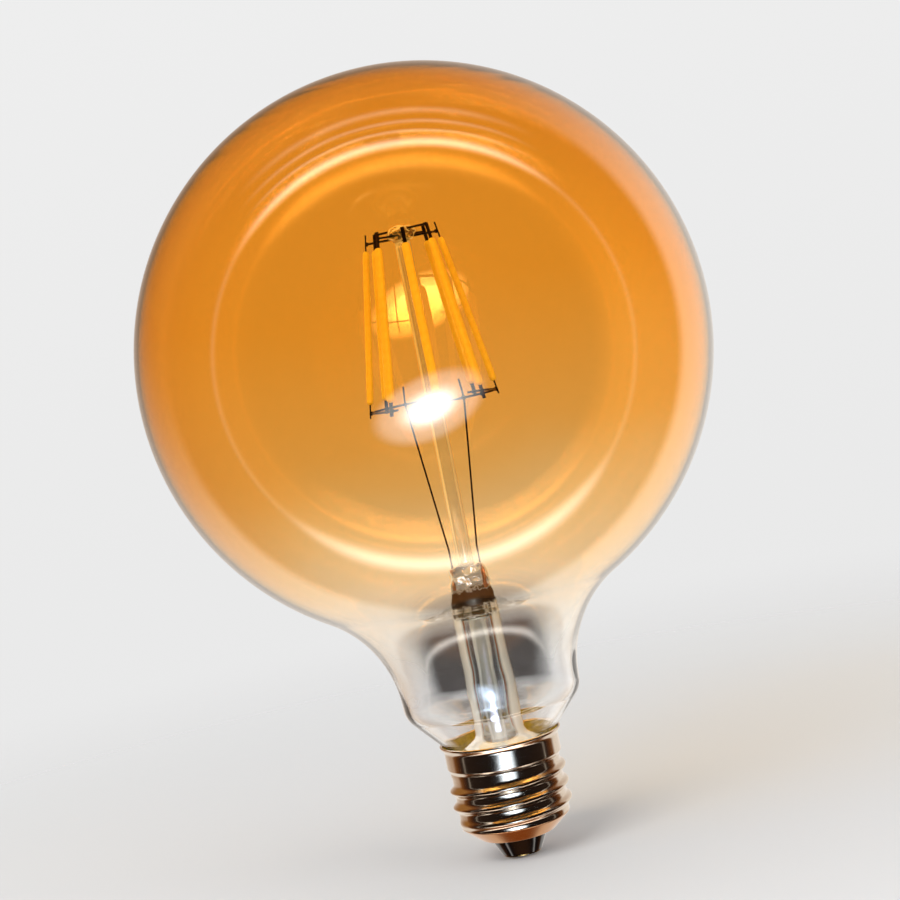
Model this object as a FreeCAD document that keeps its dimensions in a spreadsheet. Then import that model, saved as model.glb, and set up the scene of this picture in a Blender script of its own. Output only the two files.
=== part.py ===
import FreeCAD, Part
import math
import operator
import os

import Sketcher

# A smart globe lamp on a screw cap: an amber glass envelope, a stem that carries eight
# LED filaments as a cage, and a cap that holds the driver and its radio.
# Z is the lamp's axis. Z = 0 is the contact under the cap, and the globe is at the top.
# X runs across the flat press of the stem. Lengths are millimetres and angles are degrees.

DIMENSIONS = {
    # Glass envelope: a globe that runs through a sweep and a shoulder into the neck tube.
    "overall_length": 175,
    "globe_diameter": 125,
    "glass_wall": 1,
    "waist_radius": 19.6,
    "sweep_radius": 26,
    "shoulder_radius": 5,
    "shoulder_angle": 41.5,
    "neck_radius": 11.9,
    "neck_fillet": 3,
    "seal_height": 24,
    # Stem: flare tube, press, exhaust tube, rod and bead.
    "flare_top_radius": 5.1,
    "flare_foot_radius": 5.6,
    "flare_wall": 1,
    "press_foot_height": 57,
    "press_top_height": 65,
    "press_width": 8.6,
    "press_depth": 4.3,
    "press_rounding": 1.2,
    "exhaust_radius": 1.9,
    "exhaust_bore_radius": 1.1,
    "exhaust_tip_height": 19,
    "rod_radius": 1.75,
    "bead_radius": 3.2,
    "bead_height": 3.6,
    "bead_pole_radius": 1.9,
    # Filament cage: eight filaments that lean in towards the top.
    "cage_bearing": 4,
    "cage_top_radius": 7.8,
    "cage_top_height": 138.6,
    "filament_span": 37.5,
    "filament_lean": 9.6,
    "coat_length": 33.4,
    "coat_width": 1.9,
    "coat_thickness": 1.5,
    "coat_rounding": 0.7,
    "top_pin_reach": 2.3,
    "pin_overhang": 1.1,
    "pin_grip": 1.2,
    "strip_width": 0.8,
    "strip_thickness": 0.3,
    "chip_length": 1.2,
    "chip_width": 0.5,
    "chip_height": 0.2,
    "chip_spacing": 2.2,
    # Wires.
    "cage_wire_radius": 0.25,
    "cross_wire_spacing": 0.6,
    "ring_overhang_angle": 6,
    "lead_wire_radius": 0.2,
    "lead_rise": 4,
    "lead_joint_bearing": -61,
    "lead_tail_length": 4,
    "seal_wire_offset": 3.1,
    "seal_wire_radius": 0.3,
    "outer_lead_radius": 0.25,
    "weld_gap": 0.02,
    # Screw cap.
    "cap_height": 27,
    "cap_wall": 0.3,
    "lip_radius": 13.5,
    "lip_height": 1.4,
    "skirt_radius": 12.7,
    "skirt_foot_height": 21.7,
    "skirt_step_height": 0.9,
    "thread_root_radius": 12.05,
    "thread_crest_radius": 13.1,
    "thread_pitch": 3.629,
    "thread_turns": 3,
    "thread_start_height": 9.35,
    "thread_start_bearing": 180,
    "thread_overlap": 0.03,
    "cone_angle": 40,
    "cap_foot_height": 4.9,
    "cap_foot_radius": 8.2,
    "cap_opening_radius": 6.4,
    "insulator_tip_radius": 4.5,
    "insulator_tip_height": 0.9,
    "insulator_top_height": 7.2,
    "eyelet_radius": 1,
    "eyelet_wall": 0.25,
    "contact_radius": 4.2,
    "contact_thickness": 0.35,
    "solder_radius": 2.8,
    "solder_flat_radius": 1.4,
    "cement_top_height": 26.6,
    # Driver in the cap.
    "sleeve_clearance": 0.15,
    "sleeve_wall": 0.6,
    "sleeve_top_height": 20.5,
    "ledge_width": 0.8,
    "ledge_height": 0.8,
    "board_height": 15,
    "board_thickness": 1,
    "board_clearance": 0.1,
    "capacitor_radius": 3.15,
    "capacitor_length": 5.4,
    "capacitor_across": -4.6,
    "capacitor_back": -3.2,
    "inductor_radius": 3,
    "inductor_length": 5,
    "inductor_across": 4.6,
    "inductor_back": -3.2,
    "fuse_radius": 1.2,
    "fuse_length": 6,
    "fuse_back": 5,
    "rectifier_width": 3.9,
    "rectifier_depth": 4.7,
    "rectifier_height": 1.6,
    "rectifier_across": -6,
    "rectifier_back": 3.6,
    "chip_body_width": 4.9,
    "chip_body_depth": 3.9,
    "chip_body_height": 1.5,
    "chip_body_across": 4.8,
    "chip_body_back": 4.4,
    "radio_width": 10,
    "radio_depth": 6,
    "radio_height": 0.8,
    "radio_back": -6,
    "shield_width": 6.4,
    "shield_depth": 5,
    "shield_height": 1.2,
    "shield_wall": 0.2,
    "shield_across": -1.4,
    "antenna_width": 2.2,
    "antenna_depth": 5,
    "antenna_height": 0.1,
    "antenna_across": 3.5,
    "neutral_wire_offset": 10,
}
FILAMENTS = 8
CHIPS = 14
ROUND_ANGLE = 360
HALF_TURN = 180

OPERATIONS = {"+": operator.add, "-": operator.sub, "*": operator.mul, "/": operator.truediv}


class Size:
    """A number and the spreadsheet expression that gives it."""

    def __init__(self, text, number):
        self.text = text
        self.number = number

    def __add__(self, other):
        return combined("+", self, other)

    def __sub__(self, other):
        return combined("-", self, other)

    def __mul__(self, other):
        return combined("*", self, other)

    def __truediv__(self, other):
        return combined("/", self, other)

    def __rmul__(self, other):
        return combined("*", other, self)

    def __radd__(self, other):
        return combined("+", other, self)

    def __rsub__(self, other):
        return combined("-", other, self)

    def __neg__(self):
        return combined("*", -1, self)


def as_size(value):
    if isinstance(value, Size):
        return value
    return Size(repr(value), float(value))


def combined(sign, left, right):
    left = as_size(left)
    right = as_size(right)
    number = OPERATIONS[sign](left.number, right.number)
    return Size(f"({left.text} {sign} {right.text})", number)


def root(value):
    return Size(f"sqrt({value.text})", math.sqrt(value.number))


def sine(angle):
    return Size(f"sin({angle.text})", math.sin(math.radians(angle.number)))


def cosine(angle):
    return Size(f"cos({angle.text})", math.cos(math.radians(angle.number)))


def tangent(angle):
    return Size(f"tan({angle.text})", math.tan(math.radians(angle.number)))


def bearing_of(across, back):
    number = math.degrees(math.atan2(back.number, across.number))
    return Size(f"(atan2({back.text}; {across.text}) / 1 deg)", number)


def within_half_turn(angle):
    """The same bearing as a number between minus and plus half a turn."""
    angle = as_size(angle)
    number = (angle.number + HALF_TURN + ROUND_ANGLE) % ROUND_ANGLE - HALF_TURN
    return Size(f"(mod({angle.text} + {HALF_TURN + ROUND_ANGLE}; {ROUND_ANGLE}) - {HALF_TURN})", number)


doc = FreeCAD.newDocument("GlobeLamp")
sheet = doc.addObject("Spreadsheet::Sheet", "Sizes")
for row, (name, number) in enumerate(DIMENSIONS.items(), start=1):
    sheet.set(f"A{row}", name)
    sheet.set(f"B{row}", str(number))
    sheet.setAlias(f"B{row}", name)
doc.recompute()


def get(name):
    return Size(f"Sizes.{name}", float(DIMENSIONS[name]))


def bind(item, path, value):
    """Tie a property to the expression that gives it."""
    item.setExpression(path, as_size(value).text)


def new_body(name):
    body = doc.addObject("PartDesign::Body", name)
    body.Label = name
    return body


def origin_feature(body, role):
    return next(feature for feature in body.Origin.OriginFeatures if feature.Role == role)


def new_sketch(body, name, role, height=0):
    """A sketch on one of the body's origin planes, raised along the plane's normal."""
    sketch = body.newObject("Sketcher::SketchObject", name)
    sketch.AttachmentSupport = [(origin_feature(body, role), "")]
    sketch.MapMode = "FlatFace"
    bind(sketch, "AttachmentOffset.Base.z", height)
    return sketch


def constrain(sketch, name, value, *constraint):
    """Add a dimension, named for its place in the sketch, and tie it to the value."""
    index = sketch.addConstraint(Sketcher.Constraint(*constraint, value.number))
    sketch.renameConstraint(index, name)
    sketch.setExpression(f"Constraints.{name}", value.text)


def place_point(sketch, number, edge, end, point):
    """Tie one end of an edge to its two coordinates."""
    across, up = as_size(point[0]), as_size(point[1])
    constrain(sketch, f"across_{number}", across, "DistanceX", -1, 1, edge, end)
    constrain(sketch, f"up_{number}", up, "DistanceY", -1, 1, edge, end)


def arc_between(start, end, side, radius):
    """The shorter arc from start to end, turning to the side that is named, drawn anticlockwise."""
    if side == "right":
        start, end = end, start
    chord = end - start
    to_centre = FreeCAD.Vector(-chord.y, chord.x, 0).normalize()
    sagitta = radius - math.sqrt(radius ** 2 - (chord.Length / 2) ** 2)
    return Part.Arc(start, (start + end) / 2 - to_centre * sagitta, end)


def draw_outline(sketch, steps, closed=True):
    """Draw edges through the corners and tie every corner and radius to its size.

    A step is (across, up) for a straight edge to the next corner, or
    (across, up, side, radius) for an arc to it that turns to that side.
    """
    corners = [FreeCAD.Vector(as_size(step[0]).number, as_size(step[1]).number, 0) for step in steps]
    edges = len(steps) if closed else len(steps) - 1
    starts = []
    ends = []
    for index in range(edges):
        start, end = corners[index], corners[(index + 1) % len(corners)]
        if len(steps[index]) == 2:
            sketch.addGeometry(Part.LineSegment(start, end))
            first = 1
        else:
            side, radius = steps[index][2], steps[index][3]
            sketch.addGeometry(arc_between(start, end, side, radius.number))
            first = 1 if side == "left" else 2
            constrain(sketch, f"radius_{index + 1}", radius, "Radius", index)
        starts.append(first)
        ends.append(3 - first)
    for index in range(edges):
        place_point(sketch, index + 1, index, starts[index], steps[index])
        if index + 1 < edges:
            joint = ("Coincident", index, ends[index], index + 1, starts[index + 1])
            sketch.addConstraint(Sketcher.Constraint(*joint))
    if closed:
        sketch.addConstraint(Sketcher.Constraint("Coincident", edges - 1, ends[-1], 0, starts[0]))
    else:
        place_point(sketch, edges + 1, edges - 1, ends[-1], steps[-1])


def draw_circle(sketch, across, up, radius):
    across, up, radius = as_size(across), as_size(up), as_size(radius)
    centre = FreeCAD.Vector(across.number, up.number, 0)
    edge = sketch.addGeometry(Part.Circle(centre, FreeCAD.Vector(0, 0, 1), radius.number))
    constrain(sketch, f"across_{edge + 1}", across, "DistanceX", -1, 1, edge, 3)
    constrain(sketch, f"up_{edge + 1}", up, "DistanceY", -1, 1, edge, 3)
    constrain(sketch, f"radius_{edge + 1}", radius, "Radius", edge)


def revolve(body, name, steps, angle=ROUND_ANGLE):
    """Turn an outline of radii and heights about the body's Z axis."""
    sketch = new_sketch(body, name + "Outline", "XZ_Plane")
    draw_outline(sketch, steps)
    feature = body.newObject("PartDesign::Revolution", name)
    feature.Profile = sketch
    feature.ReferenceAxis = (sketch, ["V_Axis"])
    bind(feature, "Angle", angle)
    return feature


def extrude(body, name, sketch, length, kind="Pad", both_ways=False):
    """Pad a sketch along its normal, or pocket it the other way."""
    feature = body.newObject(f"PartDesign::{kind}", name)
    feature.Profile = sketch
    if both_ways:
        feature.SideType = "Symmetric"
    bind(feature, "Length", length)
    return feature


def rectangle(across, back, width, depth):
    across, back = as_size(across), as_size(back)
    left, right = across - width / 2, across + width / 2
    near, far = back - depth / 2, back + depth / 2
    return [(left, near), (right, near), (right, far), (left, far)]


def rounded_rectangle(width, depth, radius):
    side, end = width / 2, depth / 2
    return [
        (-side + radius, -end),
        (side - radius, -end, "left", radius),
        (side, -end + radius),
        (side, end - radius, "left", radius),
        (side - radius, end),
        (-side + radius, end, "left", radius),
        (-side, end - radius),
        (-side, -end + radius, "left", radius),
    ]


def plate(name, steps, height, thickness):
    """A flat piece with the given outline, standing on the given height."""
    body = new_body(name)
    sketch = new_sketch(body, "Outline", "XY_Plane", height)
    draw_outline(sketch, steps)
    extrude(body, "Plate", sketch, thickness)
    return body


def rod(name, across, back, radius, foot, length):
    """A round upright piece that stands on the height of its foot."""
    body = new_body(name)
    sketch = new_sketch(body, "Section", "XY_Plane", foot)
    draw_circle(sketch, across, back, radius)
    extrude(body, "Rod", sketch, length)
    return body


def place(body, across=0, back=0, up=0, yaw=0, pitch=0):
    bind(body, "Placement.Base.x", across)
    bind(body, "Placement.Base.y", back)
    bind(body, "Placement.Base.z", up)
    bind(body, "Placement.Rotation.Yaw", within_half_turn(yaw))
    bind(body, "Placement.Rotation.Pitch", pitch)


def wire(name, points, radius):
    """A wire bent in the body's XZ plane through the points, the first of which it rises from."""
    body = new_body(name)
    path = new_sketch(body, "Path", "XZ_Plane")
    draw_outline(path, points, closed=False)
    section = new_sketch(body, "Section", "XY_Plane", points[0][1])
    draw_circle(section, points[0][0], 0, radius)
    pipe = body.newObject("PartDesign::AdditivePipe", "Wire")
    pipe.Profile = section
    pipe.Spine = path
    pipe.Transition = "Round corner"
    return body


# ---- Places that several pieces share ----

globe_radius = get("globe_diameter") / 2
globe_height = get("overall_length") - globe_radius
glass_wall = get("glass_wall")

# The sweep is the arc outside the glass between globe and waist: its centre lies level with the waist.
sweep_radius = get("sweep_radius")
sweep_across = get("waist_radius") + sweep_radius
reach = globe_radius + sweep_radius
waist_height = globe_height - root(reach * reach - sweep_across * sweep_across)
# The shoulder turns the wall in under the waist, and the neck fillet turns it down again.
shoulder_radius = get("shoulder_radius")
shoulder_angle = get("shoulder_angle")
shoulder_across = get("waist_radius") - shoulder_radius
neck_radius = get("neck_radius")
neck_fillet = get("neck_fillet")
fillet_across = neck_radius + neck_fillet
fillet_height = waist_height - (
    neck_fillet + shoulder_radius - (fillet_across - shoulder_across) * cosine(shoulder_angle)
) / sine(shoulder_angle)
seal_height = get("seal_height")
seal_foot_height = seal_height - get("flare_wall")
neck_bore_radius = neck_radius - glass_wall
bell_radius = neck_bore_radius - get("flare_foot_radius")
bell_height = seal_height + bell_radius

press_foot = get("press_foot_height")
press_top = get("press_top_height")
flare_ceiling = press_foot - get("flare_wall")

cap_wall = get("cap_wall")
cap_height = get("cap_height")
skirt_radius = get("skirt_radius")
skirt_bore = skirt_radius - cap_wall
thread_root = get("thread_root_radius")
thread_bore = thread_root - cap_wall
lip_foot = cap_height - get("lip_height")
cone_angle = get("cone_angle")
cap_foot = get("cap_foot_height")
cap_foot_radius = get("cap_foot_radius")
cap_floor = cap_foot + cap_wall

lean = get("filament_lean")
joint_radius = get("cage_top_radius")
joint_height = get("cage_top_height")
span = get("filament_span")
pin_overhang = get("pin_overhang")
strip_thickness = get("strip_thickness")
cage_wire = get("cage_wire_radius")
lower_joint_radius = joint_radius + span * sine(lean)
lower_joint_height = joint_height - span * cosine(lean)


def cone_bore_height(radius):
    """Height of the inside of the cap's cone at a radius."""
    return cap_foot + (radius - cap_foot_radius) * tangent(cone_angle) + cap_wall / cosine(cone_angle)


def cone_bore_radius(height):
    """Radius of the inside of the cap's cone at a height."""
    return cap_foot_radius + (height - cap_foot - cap_wall / cosine(cone_angle)) / tangent(cone_angle)


def fillet_radius_at(height):
    """Outer radius of the neck glass at a height within its fillet."""
    rise = height - fillet_height
    return fillet_across - root(neck_fillet * neck_fillet - rise * rise)


def lip_bore_radius(height):
    """Radius of the inside of the cap's flared lip at a height."""
    flare = get("lip_radius") - skirt_radius
    return skirt_bore + flare * (height - lip_foot) / get("lip_height")


# ---- Glass envelope ----

def envelope_surface(offset):
    """Corners of the envelope's outside, or of the surface that lies a wall thickness inside it."""
    globe = globe_radius - offset
    sweep = sweep_radius + offset
    shoulder = shoulder_radius - offset
    fillet = neck_fillet + offset
    leaves_globe = (sweep_across * globe / reach, globe_height - (globe_height - waist_height) * globe / reach)
    waist = (sweep_across - sweep, waist_height)
    leaves_shoulder = (
        shoulder_across + shoulder * cosine(shoulder_angle),
        waist_height - shoulder * sine(shoulder_angle),
    )
    meets_fillet = (
        fillet_across - fillet * cosine(shoulder_angle),
        fillet_height + fillet * sine(shoulder_angle),
    )
    neck = (fillet_across - fillet, fillet_height)
    return globe, sweep, shoulder, fillet, leaves_globe, waist, leaves_shoulder, meets_fillet, neck


def glass_envelope():
    globe, sweep, shoulder, fillet, one, two, three, four, five = envelope_surface(as_size(0))
    steps = [
        (0, globe_height + globe, "right", globe),
        (*one, "left", sweep),
        (*two, "right", shoulder),
        three,
        (*four, "left", fillet),
        five,
        (neck_radius, seal_height),
    ]
    globe, sweep, shoulder, fillet, one, two, three, four, five = envelope_surface(glass_wall)
    steps += [
        (neck_bore_radius, seal_height),
        (*five, "right", fillet),
        four,
        (*three, "left", shoulder),
        (*two, "right", sweep),
        (*one, "left", globe),
        (0, globe_height + globe),
    ]
    revolve(new_body("glass_envelope"), "Envelope", steps)


# ---- Stem ----

def stem_flare():
    """The flare tube with its sealed rim and the press that closes it round the wires."""
    body = new_body("stem_flare")
    wall = get("flare_wall")
    top, foot = get("flare_top_radius"), get("flare_foot_radius")
    rounding = get("press_rounding")
    steps = [
        (0, press_foot),
        (top - rounding, press_foot, "right", rounding),
        (top, press_foot - rounding),
        (foot, bell_height, "left", bell_radius),
        (neck_bore_radius, seal_height),
        (neck_radius, seal_height),
        (neck_radius, seal_foot_height),
        (neck_bore_radius, seal_foot_height, "right", bell_radius + wall),
        (foot - wall, bell_height),
        (top - wall, flare_ceiling),
        (0, flare_ceiling),
    ]
    revolve(body, "Flare", steps)
    outline = new_sketch(body, "PressOutline", "XY_Plane", press_foot)
    draw_outline(outline, rounded_rectangle(get("press_width"), get("press_depth"), rounding))
    extrude(body, "Press", outline, press_top - press_foot)
    bores = new_sketch(body, "WireBores", "XY_Plane", press_top)
    for side in (-1, 1):
        draw_circle(bores, side * get("seal_wire_offset"), 0, get("seal_wire_radius"))
    extrude(body, "WireSeals", bores, press_top - flare_ceiling, kind="Pocket")


def exhaust_tube():
    """The pumping tube, drawn off and sealed at its lower tip."""
    outer, bore = get("exhaust_radius"), get("exhaust_bore_radius")
    tip = get("exhaust_tip_height")
    steps = [
        (bore, flare_ceiling),
        (outer, flare_ceiling),
        (outer, tip + outer, "right", outer),
        (0, tip),
        (0, tip + outer - bore, "left", bore),
        (bore, tip + outer),
    ]
    revolve(new_body("exhaust_tube"), "Tube", steps)


def rod_bead():
    """The melted glass bead on the rod, pierced by the four cross wires."""
    body = new_body("rod_bead")
    radius, pole, height = get("bead_radius"), get("bead_pole_radius"), get("bead_height")
    foot, top = joint_height - height / 2, joint_height + height / 2
    crown = ((radius - pole) * (radius - pole) + height * height / 4) / (2 * (radius - pole))
    steps = [
        (0, foot),
        (pole, foot, "left", crown),
        (radius, joint_height, "left", crown),
        (pole, top),
        (0, top),
    ]
    revolve(body, "Bead", steps)
    for number in range(FILAMENTS // 2):
        bore = body.newObject("PartDesign::SubtractiveCylinder", f"WireBore{number + 1}")
        bore.AttachmentSupport = [(origin_feature(body, "XY_Plane"), "")]
        bore.MapMode = "FlatFace"
        bind(bore, "Radius", cage_wire)
        bind(bore, "Height", 2 * radius)
        bearing = filament_bearing(number)
        bind(bore, "AttachmentOffset.Base.x", -radius * cosine(bearing))
        bind(bore, "AttachmentOffset.Base.y", -radius * sine(bearing))
        bind(bore, "AttachmentOffset.Base.z", cross_wire_height(number))
        bind(bore, "AttachmentOffset.Rotation.Yaw", bearing)
        bind(bore, "AttachmentOffset.Rotation.Pitch", 90)


# ---- Filament cage ----

def filament_bearing(number):
    return get("cage_bearing") + number * ROUND_ANGLE / FILAMENTS


def cross_wire_height(number):
    """The cross wires pass each other in the bead, one above the other."""
    middle = (FILAMENTS // 2 - 1) / 2
    return joint_height + (number - middle) * get("cross_wire_spacing")


def leaned(outward, along):
    """Radius and height of a point given along and outward from a filament's upper joint."""
    radius = joint_radius + outward * cosine(lean) - along * sine(lean)
    height = joint_height + outward * sine(lean) + along * cosine(lean)
    return radius, height


def pin_face_radius(height):
    """Radius where a wire of the cage meets the inner face of the pins at a height."""
    face = joint_radius - strip_thickness / 2 / cosine(lean)
    return face - (height - joint_height + cage_wire) * tangent(lean) - get("weld_gap")


def cross_wires():
    for number in range(FILAMENTS // 2):
        height = cross_wire_height(number)
        body = new_body(f"cross_wire_{number + 1}")
        section = new_sketch(body, "Section", "YZ_Plane")
        draw_circle(section, 0, height, cage_wire)
        extrude(body, "Wire", section, 2 * pin_face_radius(height), both_ways=True)
        place(body, yaw=filament_bearing(number))


def lower_ring_wires():
    """Two arcs of wire, each joining the feet of four filaments on one side of the stem."""
    height = lower_joint_height
    radius = pin_face_radius(height) - cage_wire
    sweep = (FILAMENTS // 2 - 1) * ROUND_ANGLE / FILAMENTS + 2 * get("ring_overhang_angle")
    for name, first in (("left", 2), ("right", 6)):
        body = new_body(f"lower_ring_wire_{name}")
        section = new_sketch(body, "Section", "XZ_Plane")
        draw_circle(section, radius, height, cage_wire)
        ring = body.newObject("PartDesign::Revolution", "Ring")
        ring.Profile = section
        ring.ReferenceAxis = (section, ["V_Axis"])
        bind(ring, "Angle", sweep)
        place(body, yaw=filament_bearing(first) - get("ring_overhang_angle"))


def filament_pins(name, from_along, to_along):
    """The flat end pins of all eight filaments at one end of the cage."""
    body = new_body(name)
    half = strip_thickness / 2
    sketch = new_sketch(body, "Outline", "XZ_Plane")
    corners = [
        leaned(-half, from_along),
        leaned(half, from_along),
        leaned(half, to_along),
        leaned(-half, to_along),
    ]
    draw_outline(sketch, corners)
    pin = extrude(body, "Pin", sketch, get("strip_width"), both_ways=True)
    doc.recompute()
    pattern = body.newObject("PartDesign::PolarPattern", "Pins")
    pattern.Originals = [pin]
    pattern.Axis = (origin_feature(body, "Z_Axis"), [""])
    pattern.Angle = ROUND_ANGLE
    pattern.Occurrences = FILAMENTS
    body.Tip = pattern
    place(body, yaw=get("cage_bearing"))


def filaments():
    """Each filament is a glass strip with a row of chips, inside a coat of phosphor silicone.

    In a filament's own frame Z runs up along it from its upper joint and X points outward.
    """
    length, grip = get("coat_length"), get("pin_grip")
    coat_top = -get("top_pin_reach")
    strip_top = coat_top - grip
    strip_length = length - 2 * grip
    strip_width = get("strip_width")
    chip_length, chip_width, chip_height = get("chip_length"), get("chip_width"), get("chip_height")
    spacing = get("chip_spacing")
    row_length = (CHIPS - 1) * spacing + chip_length
    row_foot = strip_top - strip_length / 2 - row_length / 2
    chip_section = rectangle(strip_thickness / 2 + chip_height / 2, 0, chip_height, chip_width)
    strip_section = rectangle(0, 0, strip_thickness, strip_width)
    for number in range(FILAMENTS):
        coat = new_body(f"filament_coat_{number + 1}")
        section = new_sketch(coat, "Section", "XY_Plane", coat_top - length)
        rounding = get("coat_rounding")
        outline = rounded_rectangle(get("coat_thickness"), get("coat_width"), rounding)
        draw_outline(section, outline)
        extrude(coat, "Coat", section, length)
        channel = new_sketch(coat, "StripChannel", "XY_Plane", coat_top)
        draw_outline(channel, strip_section)
        extrude(coat, "Channel", channel, length, kind="Pocket")
        recess = new_sketch(coat, "ChipRecess", "XY_Plane", row_foot + row_length)
        draw_outline(recess, chip_section)
        extrude(coat, "Recess", recess, row_length, kind="Pocket")

        strip = plate(f"filament_strip_{number + 1}", strip_section, strip_top - strip_length, strip_length)

        chips = new_body(f"filament_chips_{number + 1}")
        chip = new_sketch(chips, "Chip", "XY_Plane", row_foot)
        draw_outline(chip, chip_section)
        first = extrude(chips, "First", chip, chip_length)
        doc.recompute()
        pattern = chips.newObject("PartDesign::LinearPattern", "Row")
        pattern.Originals = [first]
        pattern.Direction = (origin_feature(chips, "Z_Axis"), [""])
        pattern.Occurrences = CHIPS
        bind(pattern, "Length", (CHIPS - 1) * spacing)
        chips.Tip = pattern

        bearing = filament_bearing(number)
        for body in (coat, strip, chips):
            across, back = joint_radius * cosine(bearing), joint_radius * sine(bearing)
            place(body, across, back, joint_height, yaw=bearing, pitch=-lean)


# ---- Wires of the stem ----

def stem_wires():
    """On each side: the lead wire in the globe, the seal wire in the press and the outer lead."""
    offset = get("seal_wire_offset")
    lead_radius = get("lead_wire_radius")
    ring_radius = pin_face_radius(lower_joint_height) - cage_wire
    joint_reach = ring_radius - cage_wire - lead_radius - get("weld_gap")
    bearing = get("lead_joint_bearing")
    across = joint_reach * cosine(bearing) - offset
    back = joint_reach * sine(bearing)
    distance = root(across * across + back * back)
    rise = lower_joint_height - press_top
    lead_rise = get("lead_rise")
    tail = get("lead_tail_length")
    lead_points = [
        (0, 0),
        (0, lead_rise),
        (distance, rise - tail / 4),
        (distance, rise + tail / 4),
        (distance - tail / 4, rise + tail),
    ]
    outer_points = [
        (offset, flare_ceiling),
        (offset + get("outer_lead_radius"), bell_height),
        (2 * offset, get("sleeve_top_height")),
        (2 * offset, board_top),
    ]
    for name, side in (("left", HALF_TURN), ("right", 0)):
        lead = wire(f"lead_wire_{name}", lead_points, lead_radius)
        direction = 1 if side == 0 else -1
        place(lead, direction * offset, 0, press_top, yaw=bearing_of(across, back) + side)
        seal_length = press_top - flare_ceiling
        seal = rod(f"seal_wire_{name}", offset, 0, get("seal_wire_radius"), flare_ceiling, seal_length)
        outer = wire(f"outer_lead_{name}", outer_points, get("outer_lead_radius"))
        place(seal, yaw=side)
        place(outer, yaw=side)


# ---- Screw cap ----

def thread_section(inset):
    """Section of one turn of the rolled thread, which runs from its base out to the crest and back.

    The crest and the hollows beside it are arcs of one radius. The inset gives the inside of the sheet.
    """
    pitch = get("thread_pitch")
    hollow = thread_root - inset - get("thread_overlap")
    crest = get("thread_crest_radius") - inset
    depth = crest - hollow
    radius = pitch * pitch / 16 / depth + depth / 4
    shift = root(radius * radius - (radius - get("thread_overlap") / 2) * (radius - get("thread_overlap") / 2))
    foot = hollow + get("thread_overlap") / 2
    base = foot - cap_wall / 2
    middle = (hollow + crest) / 2
    height = get("thread_start_height")
    low, high = height - pitch / 2 + shift, height + pitch / 2 - shift
    return [
        (base, low),
        (foot, low, "right", radius),
        (middle, height - pitch / 4, "left", radius),
        (crest, height, "left", radius),
        (middle, height + pitch / 4, "right", radius),
        (foot, high),
        (base, high),
    ]


def helix(body, name, kind, inset):
    section = new_sketch(body, name + "Section", "XZ_Plane")
    draw_outline(section, thread_section(inset))
    feature = body.newObject(f"PartDesign::{kind}Helix", name)
    feature.Profile = section
    feature.ReferenceAxis = (section, ["V_Axis"])
    feature.Mode = "pitch-height-angle"
    bind(feature, "Pitch", get("thread_pitch"))
    bind(feature, "Height", get("thread_pitch") * get("thread_turns"))


def cap_shell():
    """The drawn sheet shell with its rolled thread, flared lip and turned-in foot."""
    body = new_body("cap_shell")
    lip = get("lip_radius")
    opening = get("cap_opening_radius")
    skirt_foot, step = get("skirt_foot_height"), get("skirt_step_height")
    cone_top = cap_foot + (thread_root - cap_foot_radius) * tangent(cone_angle)
    steps = [
        (lip, cap_height),
        (lip - cap_wall, cap_height),
        (skirt_bore, lip_foot),
        (skirt_bore, skirt_foot),
        (thread_bore, skirt_foot - step),
        (thread_bore, cone_bore_height(thread_bore)),
        (cone_bore_radius(cap_floor), cap_floor),
        (opening, cap_floor),
        (opening, cap_foot),
        (cap_foot_radius, cap_foot),
        (thread_root, cone_top),
        (thread_root, skirt_foot - step),
        (skirt_radius, skirt_foot),
        (skirt_radius, lip_foot),
    ]
    revolve(body, "Sheet", steps)
    doc.recompute()
    helix(body, "Thread", "Additive", as_size(0))
    doc.recompute()
    helix(body, "ThreadInside", "Subtractive", cap_wall)
    place(body, yaw=get("thread_start_bearing"))


def cap_insulator():
    """The black glass insulator cast in the foot of the shell."""
    eyelet = get("eyelet_radius")
    opening = get("cap_opening_radius")
    top = get("insulator_top_height")
    tip = get("insulator_tip_height")
    steps = [
        (eyelet, tip),
        (get("insulator_tip_radius"), tip),
        (opening, cap_foot),
        (opening, cap_floor),
        (cone_bore_radius(cap_floor), cap_floor),
        (cone_bore_radius(top), top),
        (eyelet, top),
    ]
    revolve(new_body("cap_insulator"), "Insulator", steps)


def centre_contact():
    """The contact plate under the insulator and the eyelet that holds it there."""
    eyelet = get("eyelet_radius")
    bore = eyelet - get("eyelet_wall")
    tip = get("insulator_tip_height")
    foot = tip - get("contact_thickness")
    steps = [
        (bore, foot),
        (get("contact_radius"), foot),
        (get("contact_radius"), tip),
        (eyelet, tip),
        (eyelet, get("insulator_top_height")),
        (bore, get("insulator_top_height")),
    ]
    revolve(new_body("centre_contact"), "Contact", steps)


def contact_solder():
    """The drop of solder on the contact, worn flat where it meets the lampholder."""
    top = get("insulator_tip_height") - get("contact_thickness")
    width = get("solder_radius") - get("solder_flat_radius")
    radius = (width * width + top * top) / (2 * top)
    steps = [
        (0, 0),
        (get("solder_flat_radius"), 0, "left", radius),
        (get("solder_radius"), top),
        (0, top),
    ]
    revolve(new_body("contact_solder"), "Solder", steps)


def cement_ring():
    """The cement between the neck glass and the skirt of the shell."""
    top = get("cement_top_height")
    steps = [
        (neck_radius, seal_foot_height),
        (skirt_bore, seal_foot_height),
        (skirt_bore, lip_foot),
        (lip_bore_radius(top), top),
        (fillet_radius_at(top), top, "right", neck_fillet),
        (neck_radius, fillet_height),
    ]
    revolve(new_body("cement_ring"), "Cement", steps)


# ---- Driver ----

board_foot = get("board_height")
board_top = board_foot + get("board_thickness")
sleeve_radius = thread_bore - get("sleeve_clearance")
sleeve_bore = sleeve_radius - get("sleeve_wall")
live_wire_radius = get("outer_lead_radius")


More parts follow.
